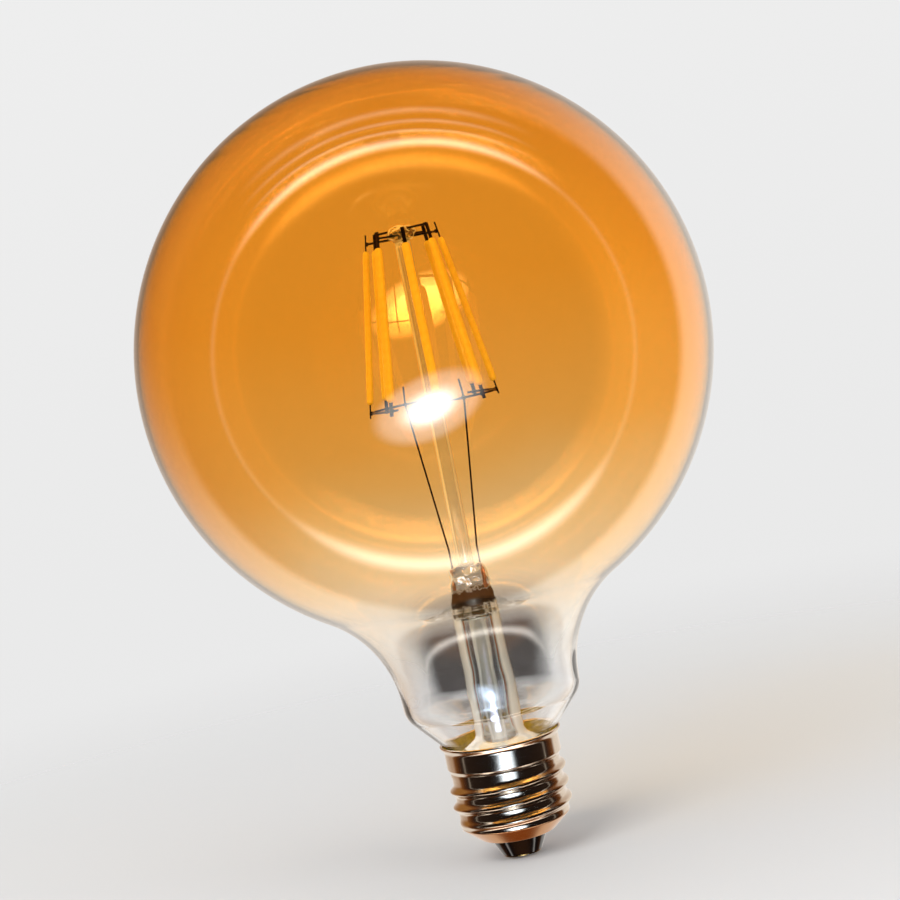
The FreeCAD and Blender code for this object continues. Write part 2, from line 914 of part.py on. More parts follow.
def driver_sleeve():
    """The insulating tube in the shell, with a ledge that the board rests on."""
    foot = cone_bore_height(sleeve_radius) + get("sleeve_clearance")
    top = get("sleeve_top_height")
    ledge_radius = sleeve_bore - get("ledge_width")
    steps = [
        (sleeve_bore, foot),
        (sleeve_radius, foot),
        (sleeve_radius, top),
        (sleeve_bore, top),
        (sleeve_bore, board_foot),
        (ledge_radius, board_foot),
        (ledge_radius, board_foot - get("ledge_height")),
        (sleeve_bore, board_foot - get("ledge_height")),
    ]
    revolve(new_body("driver_sleeve"), "Sleeve", steps)


def driver():
    board_radius = sleeve_bore - get("board_clearance")
    rod("driver_board", 0, 0, board_radius, board_foot, get("board_thickness"))
    for name, across, back, part in (
        ("smoothing_capacitor", get("capacitor_across"), get("capacitor_back"), "capacitor"),
        ("inductor", get("inductor_across"), get("inductor_back"), "inductor"),
        ("fuse_resistor", 0, get("fuse_back"), "fuse"),
    ):
        length = get(part + "_length")
        rod(name, across, back, get(part + "_radius"), board_foot - length, length)
    for name, part in (("bridge_rectifier", "rectifier"), ("driver_chip", "chip_body")):
        width, depth = get(part + "_width"), get(part + "_depth")
        outline = rectangle(get(part + "_across"), get(part + "_back"), width, depth)
        plate(name, outline, board_top, get(part + "_height"))


def radio():
    """The radio module on the board, its shield can and its printed antenna."""
    back = get("radio_back")
    module_top = board_top + get("radio_height")
    module = rectangle(0, back, get("radio_width"), get("radio_depth"))
    plate("radio_module", module, board_top, get("radio_height"))
    width, depth, height = get("shield_width"), get("shield_depth"), get("shield_height")
    wall = get("shield_wall")
    can = plate("shield_can", rectangle(get("shield_across"), back, width, depth), module_top, height)
    hollow = new_sketch(can, "Hollow", "XY_Plane", module_top + height - wall)
    draw_outline(hollow, rectangle(get("shield_across"), back, width - 2 * wall, depth - 2 * wall))
    extrude(can, "Inside", hollow, height - wall, kind="Pocket")
    antenna = rectangle(get("antenna_across"), back, get("antenna_width"), get("antenna_depth"))
    plate("antenna", antenna, module_top, get("antenna_height"))


def supply_wires():
    """The live wire runs down through the eyelet, and the neutral wire over the sleeve to the shell."""
    solder_top = get("insulator_tip_height") - get("contact_thickness")
    rod("live_wire", 0, 0, live_wire_radius, solder_top, board_foot - solder_top)
    offset = get("neutral_wire_offset")
    over = get("skirt_foot_height") + 2 * get("outer_lead_radius")
    points = [(offset, board_top), (offset, over), (skirt_bore - get("weld_gap"), over)]
    neutral = wire("neutral_wire", points, get("outer_lead_radius"))
    place(neutral, yaw=90)


def build():
    glass_envelope()
    stem_flare()
    exhaust_tube()
    rod_foot = press_top
    rod_length = joint_height - get("bead_height") / 2 - rod_foot
    rod("support_rod", 0, 0, get("rod_radius"), rod_foot, rod_length)
    rod_bead()
    cross_wires()
    lower_ring_wires()
    top_reach = -get("top_pin_reach") - get("pin_grip")
    filament_pins("filament_top_pins", top_reach, pin_overhang)
    foot_reach = get("pin_grip") - get("top_pin_reach") - get("coat_length")
    filament_pins("filament_bottom_pins", -span - pin_overhang, foot_reach)
    filaments()
    stem_wires()
    cap_shell()
    cap_insulator()
    centre_contact()
    contact_solder()
    cement_ring()
    driver_sleeve()
    driver()
    radio()
    supply_wires()
    doc.recompute()


def check_and_export():
    """Refuse to write anything if a feature failed or a piece is not a sound solid."""
    for item in doc.Objects:
        faults = [state for state in item.State if state in ("Invalid", "Error")]
        if faults:
            raise RuntimeError(f"{item.Label} is {faults[0]}")
    pieces = [item for item in doc.Objects if item.TypeId == "PartDesign::Body"]
    for piece in pieces:
        if piece.Shape.isNull() or not piece.Shape.isValid():
            raise RuntimeError(f"{piece.Label} has no sound shape")
    os.makedirs("parts", exist_ok=True)
    for piece in pieces:
        piece.Shape.exportStep(f"parts/{piece.Label}.step")
        box = piece.Shape.BoundBox
        print(f"{piece.Label:24s} solids {len(piece.Shape.Solids):3d}  volume {piece.Shape.Volume:10.2f}"
              f"  z {box.ZMin:7.2f} to {box.ZMax:7.2f}")


build()
check_and_export()
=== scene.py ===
import math
from functools import partial

import bmesh
import bpy
from mathutils import Matrix, Vector, noise


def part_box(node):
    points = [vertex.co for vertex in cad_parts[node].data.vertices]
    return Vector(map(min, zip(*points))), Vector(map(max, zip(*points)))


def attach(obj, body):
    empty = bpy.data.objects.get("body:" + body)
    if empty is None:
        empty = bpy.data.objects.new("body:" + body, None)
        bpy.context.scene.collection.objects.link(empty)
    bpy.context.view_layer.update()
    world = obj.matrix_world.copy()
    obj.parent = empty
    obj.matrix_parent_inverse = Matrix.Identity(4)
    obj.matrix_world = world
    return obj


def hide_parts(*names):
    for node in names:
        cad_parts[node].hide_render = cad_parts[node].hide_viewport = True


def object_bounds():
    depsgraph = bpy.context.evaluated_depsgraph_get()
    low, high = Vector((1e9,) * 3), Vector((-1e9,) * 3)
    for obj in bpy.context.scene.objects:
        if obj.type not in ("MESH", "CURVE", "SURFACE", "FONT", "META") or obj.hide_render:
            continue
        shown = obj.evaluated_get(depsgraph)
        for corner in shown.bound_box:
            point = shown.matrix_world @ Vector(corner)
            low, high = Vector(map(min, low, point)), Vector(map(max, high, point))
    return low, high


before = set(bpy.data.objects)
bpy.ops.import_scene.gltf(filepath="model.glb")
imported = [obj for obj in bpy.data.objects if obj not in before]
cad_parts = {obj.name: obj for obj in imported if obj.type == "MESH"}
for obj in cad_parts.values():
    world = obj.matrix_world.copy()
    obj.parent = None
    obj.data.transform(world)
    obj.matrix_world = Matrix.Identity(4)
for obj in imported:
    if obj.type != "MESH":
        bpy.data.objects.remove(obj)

bl_info = {
    "name": "Globe filament lamp",
    "version": (1, 0, 0),
    "blender": (4, 5, 0),
    "location": "View3D > Sidebar > Globe lamp",
    "description": "Builds the looks of a globe filament lamp round its designed frame",
    "category": "Object",
}

CAD_BOX = [list(corner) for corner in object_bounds()]
BODY = "root"
MM = 0.001
FILAMENTS = 8
ON_AXIS = 1e-6
ENVELOPE_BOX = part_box("glass_envelope")
CAP_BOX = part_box("cap_shell")


# ---- Small helpers ----

def from_hex(code, times=1.0):
    """An sRGB hex colour as linear red, green and blue, a number of times as bright, and alpha."""
    linear = []
    for index in (1, 3, 5):
        part = int(code[index:index + 2], 16) / 255
        linear.append(part / 12.92 if part <= 0.04045 else ((part + 0.055) / 1.055) ** 2.4)
    return (*[part * times for part in linear], 1.0)


def smooth(low, high, value):
    """Runs from nought at low to one at high with soft ends."""
    share = min(max((value - low) / (high - low), 0.0), 1.0)
    return share * share * (3 - 2 * share)


def arc(across, up, radius, start, end, count):
    """Points on an arc about a centre, with its angles in degrees."""
    path = []
    for step in range(count + 1):
        angle = math.radians(start + (end - start) * step / count)
        path.append((across + radius * math.cos(angle), up + radius * math.sin(angle)))
    return path


def rounded(corners, count=6):
    """A path through corners, each given as across, up and the radius that rounds it."""
    path = []
    for index, (across, up, radius) in enumerate(corners):
        here = Vector((across, up))
        if radius == 0 or index in (0, len(corners) - 1):
            path.append((across, up))
            continue
        before = (Vector(corners[index - 1][:2]) - here).normalized()
        after = (Vector(corners[index + 1][:2]) - here).normalized()
        half = before.angle(after) / 2
        reach = radius / math.tan(half)
        centre = here + (before + after).normalized() * radius / math.sin(half)
        first, last = here + before * reach - centre, here + after * reach - centre
        for step in range(count + 1):
            spoke = first.lerp(last, step / count).normalized() * radius
            path.append(tuple(centre + spoke))
    return path


def finish_piece(mesh_data, name, slot, material, *stands_for):
    """Makes a mesh a smooth piece that rides on the lamp and stands for its designed nodes."""
    mesh = bpy.data.meshes.new(name)
    mesh_data.to_mesh(mesh)
    mesh_data.free()
    mesh.shade_smooth()
    mesh.materials.append(material)
    piece = bpy.data.objects.new(name, mesh)
    bpy.context.scene.collection.objects.link(piece)
    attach(piece, BODY)
    if stands_for:
        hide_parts(*stands_for)
    return piece


def at_bearing(bearing, across, up, index=0):
    """The place of a point at a bearing round the axis, wherever it is in its path."""
    return across * math.cos(bearing), across * math.sin(bearing), up


def close_between(mesh_data, low, high):
    """Puts faces between two rows of corners round the axis, either of which may be one corner."""
    sides = max(len(low), len(high))
    for side in range(sides):
        after = side + 1
        corners = [low[side % len(low)], low[after % len(low)],
                   high[after % len(high)], high[side % len(high)]]
        corners = list(dict.fromkeys(corners))
        if len(corners) > 2:
            mesh_data.faces.new(corners)


def face_outwards(mesh_data):
    """Turns every face of a closed mesh to the outside."""
    bmesh.ops.recalc_face_normals(mesh_data, faces=mesh_data.faces)
    if mesh_data.calc_volume(signed=True) < 0:
        bmesh.ops.reverse_faces(mesh_data, faces=mesh_data.faces)


def lathe(path, sides, shape=at_bearing, ring=False):
    """Turns a path of millimetre points round the axis. A point on the axis becomes one corner.

    shape gives a point's place from its bearing, radius, height and number in the path. ring
    joins the last point to the first.
    """
    turned = bmesh.new()
    rows = []
    for index, (across, up) in enumerate(path):
        row = []
        for side in range(1 if across < ON_AXIS else sides):
            bearing = 2 * math.pi * side / sides
            row.append(turned.verts.new(Vector(shape(bearing, across, up, index)) * MM))
        rows.append(row)
    for low, high in zip(rows, rows[1:] + rows[:1] if ring else rows[1:]):
        close_between(turned, low, high)
    face_outwards(turned)
    return turned


def ripple(place, size, seed=0.0):
    """Soft noise of about one unit for a point in millimetres, at a size in millimetres."""
    return noise.noise(Vector(place) / size + Vector((seed, 1.7 * seed, 0)))


# ---- Materials ----

SOFT = {"interpolation_type": "SMOOTHSTEP"}


def set_inputs(tree, node, inputs):
    """Sets inputs of a node by their names or numbers.

    Each is set to a value, a socket, or a node, which stands for its first output in use.
    """
    for key, value in dict(inputs).items():
        if isinstance(value, bpy.types.Node):
            value = next(socket for socket in value.outputs if socket.enabled)
        if isinstance(value, bpy.types.NodeSocket):
            tree.links.new(value, node.inputs[key])
        else:
            node.inputs[key].default_value = value


def add_node(tree, kind, inputs=(), stops=(), **options):
    """Adds a node with its inputs, the stops of a ramp and its other options.

    A stop is a place with a colour, or with a number for a grey.
    """
    made = tree.nodes.new("ShaderNode" + kind)
    for name, value in options.items():
        setattr(made, name, value)
    set_inputs(tree, made, inputs)
    for index, (place, colour) in enumerate(stops):
        points = made.color_ramp.elements
        point = points[index] if index < len(points) else points.new(place)
        point.position = place
        point.color = colour if isinstance(colour, tuple) else (colour, colour, colour, 1)
    return made


def new_material(name, inputs):
    """A material with one Principled shader, the tree that holds it and that shader."""
    material = bpy.data.materials.new(name)
    material.use_nodes = True
    tree = material.node_tree
    tree.nodes.clear()
    shader = add_node(tree, "BsdfPrincipled", inputs)
    add_node(tree, "OutputMaterial", {"Surface": shader})
    return material, tree, shader


def mix_at_surface(tree, share, shader, other):
    """Makes the surface a mix of two shaders."""
    mixed = add_node(tree, "MixShader", {0: share, 1: shader, 2: other})
    output = next(node for node in tree.nodes if node.type == "OUTPUT_MATERIAL")
    set_inputs(tree, output, {"Surface": mixed})


def grained(name, finish_colour, metallic, roughness, grain_mm, spread=0.08, bump_mm=0.0,
            stretch=(1, 1, 1), **more):
    """A solid finish whose shade, gloss and skin vary with a grain of a real size."""
    material, tree, shader = new_material(name, {"Metallic": metallic, **more})
    node = partial(add_node, tree)
    place = node("TexCoord").outputs["Object"]
    place = node("Mapping", {0: place, "Scale": stretch})
    grain = node("TexNoise", {"Vector": place, "Scale": 1 / (grain_mm * MM), "Detail": 4.0})
    is_code = isinstance(finish_colour, str)
    colour = Vector(from_hex(finish_colour)[:3] if is_code else finish_colour)
    dark = (*(colour * (1 - spread)), 1.0)
    light = (*[min(part * (1 + spread), 1.0) for part in colour], 1.0)
    shade = node("ValToRGB", {0: grain}, [(0.3, dark), (0.7, light)])
    set_inputs(tree, shader, {"Base Color": shade})
    gloss = node("MapRange", {0: grain, 3: roughness * 0.8, 4: roughness * 1.25})
    set_inputs(tree, shader, {"Roughness": gloss})
    if bump_mm:
        bump = node("Bump", {"Height": grain, "Distance": bump_mm * MM, "Strength": 1.0})
        set_inputs(tree, shader, {"Normal": bump})
    return material


def let_lamps_through(tree, shader, tint):
    """Mixes in a clear shader for rays from lamps, so that they light what is inside the glass."""
    lamp_ray = add_node(tree, "LightPath").outputs["Is Shadow Ray"]
    mix_at_surface(tree, lamp_ray, shader, add_node(tree, "BsdfTransparent", {0: tint}))


def amber_lustre_glass(lustre):
    """Blown soda glass with an amber lustre that thins out towards the neck.

    The eye gets a deep honey colour through two walls, a pale shoulder and a neck that is painted
    dark when looked at squarely, a painted reflection of the dark room, and white at its edges.
    """
    material, tree, shader = new_material("amber_lustre_glass", {
        "IOR": 1.52,
        "Roughness": 0.0,
        "Transmission Weight": 1.0,
        "Coat IOR": 1.9,
        "Coat Roughness": 0.01,
    })
    node = partial(add_node, tree)
    place = node("TexCoord").outputs["Object"]
    height = node("SeparateXYZ", {0: place}).outputs["Z"]
    # The lustre's height wanders by up to 13 mm in clouds of 55 mm.
    cloud = node("TexNoise", {"Vector": place, "Scale": 1 / (55 * MM), "Detail": 2.0})
    drift = node("Math", {0: cloud, 1: 26 * MM, 2: -13 * MM}, operation="MULTIPLY_ADD")
    level = node("Math", {0: height, 1: drift}, operation="ADD")
    share = node("MapRange", {0: level, 1: 0.0, 2: ENVELOPE_BOX[1].z})
    colour = node("ValToRGB", {0: share}, [
        (0.22, from_hex("#F9F9F9")),
        (0.30, from_hex("#FAF7F1")),
        (0.38, from_hex("#FCE7C4")),
        (0.52, from_hex("#FED48E")),
        (0.72, (*lustre, 1)),
        (1.00, from_hex("#FDC76A")),
    ])
    # The lustre's foot is a film on the inner face, seen where a ray enters it, so in effect on the
    # far wall. Straight on it is painted dark, a painted reflection of the dark room in front;
    # aslant it is clear.
    # Below it the glass is milky where the flame worked it.
    aslant = node("LayerWeight", {0: 0.5}).outputs["Facing"]
    surface = node("NewGeometry").outputs
    square = node("MapRange", {0: aslant, 1: 0.44, 2: 0.15}, **SOFT)
    up_neck = node("MapRange", {0: height, 1: 20 * MM, 2: 70 * MM})
    film_band = node("ValToRGB", {0: up_neck}, [(0.23, 0), (0.33, 1), (0.58, 1), (0.84, 0)])
    worked = node("ValToRGB", {0: up_neck}, [(0.10, 0), (0.18, 1), (0.27, 1), (0.33, 0)])
    outward = node("VectorMath", {0: place, 1: (1, 1, 0)}, operation="MULTIPLY")
    lean = node("VectorMath", {0: outward, 1: surface["Normal"]}, operation="DOT_PRODUCT")
    inner = node("Math", {0: lean, 1: 0.0}, operation="LESS_THAN")
    entering = node("Math", {0: 1.0, 1: surface["Backfacing"]}, operation="SUBTRACT")
    film_seen_straight_on = node("Math", {0: inner, 1: entering}, operation="MULTIPLY")
    film_seen_straight_on = node("Math", {0: film_seen_straight_on, 1: square}, operation="MULTIPLY")
    painted_film_shade = node("Math", {0: film_seen_straight_on, 1: film_band}, operation="MULTIPLY")
    # The dark #221F1E is painted shade: the dark room's reflection, painted on where the far wall
    # is seen straight on.
    film_shade_inputs = {0: painted_film_shade, 6: colour, 7: from_hex("#221F1E")}
    glass_with_painted_film = node("Mix", film_shade_inputs, data_type="RGBA")
    # The flame's streaks are 9 mm long round the neck and 2.6 mm high.
    drawn = node("Mapping", {0: place, "Scale": (1, 1, 3.5)})
    streaks = node("TexNoise", {"Vector": drawn, "Scale": 1 / (9 * MM), "Detail": 5.0})
    flame = node("ValToRGB", {0: streaks}, [
        (0.36, from_hex("#3F3835")),
        (0.48, from_hex("#908981")),
        (0.62, from_hex("#CECBC7")),
    ])
    # In the flame-worked band, grey streaks take the place of the painted dark. Like it, they show
    # only straight on.
    milky = node("Math", {0: film_seen_straight_on, 1: worked}, operation="MULTIPLY")
    glass_with_painted_film = node("Mix", {0: milky, 6: glass_with_painted_film, 7: flame}, data_type="RGBA")
    # The last sliver of the edge, where the view runs along the wall, is painted browner: a painted
    # dark rim line.
    edge = node("MapRange", {0: aslant, 1: 0.80, 2: 0.97}, **SOFT)
    rim = node("Math", {0: edge, 1: entering}, operation="MULTIPLY")
    browned = {0: rim, 6: glass_with_painted_film, 7: from_hex("#CBAD8B")}
    browned = node("Mix", browned, data_type="RGBA")
    set_inputs(tree, shader, {"Base Color": browned})
    sheen = node("MapRange", {0: share, 1: 0.25, 2: 0.50, 3: 0.0, 4: 0.28})
    set_inputs(tree, shader, {"Coat Weight": sheen})
    let_lamps_through(tree, shader, from_hex("#FFF7E7"))
    return material


def clear_tube_glass(name, milky, band=None, painted_edges_at=(0.18, 0.34)):
    """Drawn lead glass: walls seen edge-on turn opaque white, a painted highlight in white bars,
    and the core stays clear but for a milky share.

    painted_edges_at gives where the bars start and are full, from nought straight on to one
    edge-on. A band of heights in millimetres carries a scorched brown deposit, and the glass above
    it is squeezed solid.
    """
    material, tree, shader = new_material(name, {
        "IOR": 1.56,
        "Roughness": 0.0,
        "Coat Weight": 1.0,
        "Coat IOR": 2.0,
        "Coat Roughness": 0.02,
    })
    node = partial(add_node, tree)
    place = node("TexCoord").outputs["Object"]
    height = node("SeparateXYZ", {0: place}).outputs["Z"]
    drawn = node("Mapping", {0: place, "Scale": (1, 1, 0.12)})
    streak = node("TexNoise", {"Vector": drawn, "Scale": 1 / (1.6 * MM)})
    colour = node("ValToRGB", {0: streak}, [
        (0.3, from_hex("#E4EEFB")),
        (0.7, from_hex("#F6FAFF")),
    ])
    aslant = node("LayerWeight", {0: 0.5}).outputs["Facing"]
    if band:
        # The squeezed press has no walls, so only its far edges get the painted white highlight.
        solid = node("MapRange", {0: height, 1: 56 * MM, 2: 59 * MM})
        aslant = node("Math", {0: solid, 1: -0.22, 2: aslant}, operation="MULTIPLY_ADD")
    leaving = node("NewGeometry").outputs["Backfacing"]
    start, full = painted_edges_at
    # Edge-on the glass turns opaque white: a painted highlight that stands in for light along the
    # walls.
    walls = node("MapRange", {0: aslant, 1: start, 2: full, 3: 1 - milky, 4: 0.03}, **SOFT)
    clarity = node("Math", {0: walls, 1: leaving}, operation="MAXIMUM")
    if band:
        low, high = band
        burn = node("TexNoise", {"Vector": place, "Scale": 1 / (1.3 * MM)})
        ragged = node("Math", {0: burn, 1: 3.0 * MM, 2: height}, operation="MULTIPLY_ADD")
        up_band = node("MapRange", {0: ragged, 1: low * MM, 2: high * MM})
        scorch = node("ValToRGB", {0: up_band}, [(0.0, 0), (0.18, 1), (0.62, 1), (0.72, 0)])
        burnt = {0: scorch, 6: colour, 7: from_hex("#1C0D05")}
        colour = node("Mix", burnt, data_type="RGBA")
        bare = node("Math", {0: 1.0, 1: scorch}, operation="SUBTRACT")
        clarity = node("Math", {0: clarity, 1: bare}, operation="MULTIPLY")
        set_inputs(tree, shader, {"Coat Weight": bare})
        soot = node("Math", {0: scorch, 1: 0.7}, operation="MULTIPLY")
        set_inputs(tree, shader, {"Roughness": soot})
    set_inputs(tree, shader, {"Transmission Weight": clarity})
    set_inputs(tree, shader, {"Base Color": colour})
    let_lamps_through(tree, shader, from_hex("#FCFCFA"))
    return material


def phosphor_silicone(phosphor):
    """Moulded silicone filled with yellow phosphor: a warm egg-yolk bar with a wet gleam."""
    material, tree, shader = new_material("phosphor_silicone", {
        "Roughness": 0.10,
        "IOR": 1.45,
        "Subsurface Weight": 0.25,
        "Subsurface Radius": (1.2 * MM, 0.8 * MM, 0.2 * MM),
        "Subsurface Scale": 1.0,
    })
    node = partial(add_node, tree)
    place = node("TexCoord").outputs["Object"]
    height = node("SeparateXYZ", {0: place}).outputs["Z"]
    # The coat is a shade deeper between the chips, which are 2.17 mm apart.
    rhythm = node("Math", {0: height, 1: 2 * math.pi / (2.17 * MM)}, operation="MULTIPLY")
    wave = node("Math", {0: rhythm}, operation="SINE")
    grain = node("TexNoise", {"Vector": place, "Scale": 1 / (0.6 * MM)})
    blend = node("Math", {0: wave, 1: 0.10, 2: grain}, operation="MULTIPLY_ADD")
    colour = node("ValToRGB", {0: blend}, [(0.2, from_hex("#F7D859")), (0.8, (*phosphor, 1))])
    set_inputs(tree, shader, {"Base Color": colour})
    return material


def plated_shell(plate_colour):
    """Bright nickel plate on rolled sheet: a warm mirror with faint rolling marks round it.

    The cone at its foot is painted copper: a painted reflection of the warm surroundings below it.
    """
    material = grained("bright_nickel_plate", plate_colour, 1.0, 0.13, 1.2, 0.05, 0.004,
                       stretch=(1, 1, 6))
    tree = material.node_tree
    shader = next(node for node in tree.nodes if node.type == "BSDF_PRINCIPLED")
    plate = shader.inputs["Base Color"].links[0].from_socket
    place = add_node(tree, "TexCoord").outputs["Object"]
    height = add_node(tree, "SeparateXYZ", {0: place}).outputs["Z"]
    # Below 8.6 mm the cone takes a painted copper colour, a painted reflection of the warm
    # surroundings.
    bare = add_node(tree, "MapRange", {0: height, 1: 8.6 * MM, 2: 7.9 * MM})
    painted_copper_cone = {0: bare, 6: plate, 7: from_hex("#C08A55")}
    colour = add_node(tree, "Mix", painted_copper_cone, data_type="RGBA")
    set_inputs(tree, shader, {"Base Color": colour})
    return material


def make_materials(lamp):
    """Every finish of the lamp, by the record's slot that it serves."""
    return {
        "amber_glass": amber_lustre_glass(lamp.glass.lustre),
        "clear_glass": clear_tube_glass("drawn_lead_glass", 0.30),
        "pumping_glass": clear_tube_glass("pumping_tube_glass", 0.50),
        "bead_glass": clear_tube_glass("melted_bead_glass", 0.04, painted_edges_at=(0.38, 0.56)),
        "stem_glass": clear_tube_glass("pressed_stem_glass", 0.04, band=(57.0, 63.4)),
        "phosphor_silicone": phosphor_silicone(lamp.filament.phosphor),
        # Sintered alumina strip: matt and chalk white.
        "filament_carrier": grained("sintered_alumina", "#EFEDE2", 0.0, 0.7, 0.4),
        # Bare die: small glassy grey-blue squares.
        "led_chip": grained("bare_die", "#8A97AE", 0.2, 0.25, 0.3),
        # Drawn nickel-iron wire, browned by the weld and the seal: dark with a dull gleam.
        "support_wire": grained("browned_nickel_wire", "#2C211D", 0.85, 0.38, 0.7, 0.35, 0.03),
        # Copper-clad seal wire: orange-red with brown oxide.
        "copper": grained("copper_clad_wire", "#C0622F", 0.9, 0.33, 0.8, 0.3, 0.02),
        # Baked capping cement: olive yellow and crumbly.
        "cap_cement": grained("baked_cap_cement", "#B7A238", 0.0, 0.8, 0.8, 0.35, 0.15),
        "nickel_plate": plated_shell(lamp.cap.plate),
        # Cast black glass: wet black with a sharp edge light.
        "black_glass": grained("cast_black_glass", "#0A0708", 0.0, 0.06, 2.5, 0.4, 0.02, IOR=1.6),
        # Stamped brass in a darker brass colour: painted shade that keeps its glint down.
        "brass": grained("stamped_brass", "#8C6C3C", 1.0, 0.28, 0.9, 0.15, 0.01),
        # Tin solder, frozen with a dull orange-peel skin.
        "solder": grained("frozen_solder", "#BDBEC0", 1.0, 0.3, 0.9, 0.12, 0.06),
        # Moulded polybutylene sleeve: satin off-white.
        "sleeve_plastic": grained("moulded_sleeve_plastic", "#E9E6DA", 0.0, 0.45, 1.5,
                                  bump_mm=0.01),
        # Fibreglass board under green solder mask.
        "circuit_board": grained("solder_masked_board", "#1E6134", 0.0, 0.35, 1.0, 0.3, 0.01),
        # Transfer-moulded epoxy: fine matt black.
        "black_epoxy": grained("moulded_epoxy", "#1B1B1D", 0.0, 0.55, 0.2, 0.25, 0.01),
        # Drawn aluminium can: satin with upright draw lines.
        "can_aluminium": grained("drawn_aluminium", "#C9CBCD", 1.0, 0.32, 0.5, bump_mm=0.01,
                                 stretch=(4, 4, 1)),
        # Pressed ferrite: charcoal and grainy.
        "ferrite": grained("pressed_ferrite", "#2B2828", 0.0, 0.6, 0.25, 0.25, 0.02),
        # Baked resistor lacquer: glossy grey-green.
        "resistor_lacquer": grained("baked_lacquer", "#5E8377", 0.0, 0.2, 0.7, 0.15),
        # Small radio board under blue solder mask.
        "radio_board": grained("blue_masked_board", "#1B3F6E", 0.0, 0.35, 0.8, 0.25, 0.01),
        # Hot-dipped tin plate: soft grey with a faint crystal bloom.
        "tin_plate": grained("dipped_tin_plate", "#C4C4C2", 1.0, 0.35, 0.8, 0.15),
        # Extruded wire insulation: smooth off-white.
        "wire_insulation": grained("extruded_insulation", "#D8D7CF", 0.0, 0.4, 0.6),
    }


# ---- Settings that a user would change ----

class GlobeLampGlass(bpy.types.PropertyGroup):
    globe_radius: bpy.props.FloatProperty(
        name="Globe radius", description="Radius of the outside of the globe",
        default=ENVELOPE_BOX[1].x, unit="LENGTH", precision=4)
    wall: bpy.props.FloatProperty(
        name="Wall", description="Thickness of the blown glass",
        default=1.0 * MM, unit="LENGTH", precision=4)
    waist_radius: bpy.props.FloatProperty(
        name="Waist radius", description="Radius of the neck at its waist",
        default=19.6 * MM, unit="LENGTH", precision=4)
    sweep_radius: bpy.props.FloatProperty(
        name="Sweep radius", description="Radius of the hollow sweep between globe and waist",
        default=26.0 * MM, unit="LENGTH", precision=4)
    lustre: bpy.props.FloatVectorProperty(
        name="Lustre", description="Colour of the lustre round the widest part of the globe",
        default=from_hex("#FFCA6E")[:3], subtype="COLOR")
    waviness: bpy.props.FloatProperty(
        name="Waviness", description="How far the worked glass of the neck strays from round",
        default=0.12 * MM, unit="LENGTH", precision=5)


class GlobeLampFilament(bpy.types.PropertyGroup):
    width: bpy.props.FloatProperty(
        name="Width", description="Width of a coat round the lamp",
        default=1.9 * MM, unit="LENGTH", precision=4)
    thickness: bpy.props.FloatProperty(
        name="Thickness", description="Thickness of a coat away from the axis",
        default=1.5 * MM, unit="LENGTH", precision=4)
    phosphor: bpy.props.FloatVectorProperty(
        name="Phosphor", description="Colour of the coat over a chip",
        default=from_hex("#FDE369")[:3], subtype="COLOR")


class GlobeLampCap(bpy.types.PropertyGroup):
    plate: bpy.props.FloatVectorProperty(
        name="Plate", description="Colour of the nickel plate",
        default=from_hex("#DCCDBB")[:3], subtype="COLOR")
    thread_depth: bpy.props.FloatProperty(
        name="Thread depth", description="Height of the rolled thread's crest over its root",
        default=1.05 * MM, unit="LENGTH", precision=4)
    thread_pitch: bpy.props.FloatProperty(
        name="Thread pitch", description="Rise of the thread in one turn",
        default=3.629 * MM, unit="LENGTH", precision=5)
    thread_turns: bpy.props.FloatProperty(
        name="Thread turns", description="Number of turns of the thread", default=3.0)


class GlobeLampStage(bpy.types.PropertyGroup):
    backdrop: bpy.props.FloatVectorProperty(
        name="Backdrop", description="Colour of the plain room round the lamp",
        default=from_hex("#F0F0F0")[:3], subtype="COLOR")
    camera_distance: bpy.props.FloatProperty(
        name="Camera distance", description="Distance from the lens to the lamp's axis",
        default=0.495, unit="LENGTH")
    camera_height: bpy.props.FloatProperty(
        name="Camera height", description="Height of the lens", default=0.121, unit="LENGTH")
    aim_height: bpy.props.FloatProperty(
        name="Aim height", description="Height of the point looked at",
        default=0.0905, unit="LENGTH")
    aim_across: bpy.props.FloatProperty(
        name="Aim across", description="Sideways place of the point looked at",
        default=0.0014, unit="LENGTH")
    roll: bpy.props.FloatProperty(
        name="Roll", description="Turn of the camera about its own axis",
        default=math.radians(11.15), subtype="ANGLE")
    focal_length: bpy.props.FloatProperty(
        name="Focal length", description="Focal length in millimetres", default=91.1)


class GlobeLampSettings(bpy.types.PropertyGroup):
    glass: bpy.props.PointerProperty(
        type=GlobeLampGlass, name="Glass", description="Sizes and colour of the envelope")
    filament: bpy.props.PointerProperty(
        type=GlobeLampFilament, name="Filament", description="Sizes and colour of the coats")
    cap: bpy.props.PointerProperty(
        type=GlobeLampCap, name="Cap", description="Sizes and colour of the screw cap")
    stage: bpy.props.PointerProperty(
        type=GlobeLampStage, name="Stage", description="Room, light and camera")


MATERIALS = {}


def lamp_material(slot):
    """A finish by its slot, with all of them made at the first call."""
    if not MATERIALS:
        MATERIALS.update(make_materials(bpy.context.scene.globe_lamp))
    return MATERIALS[slot]


# ---- Glass ----

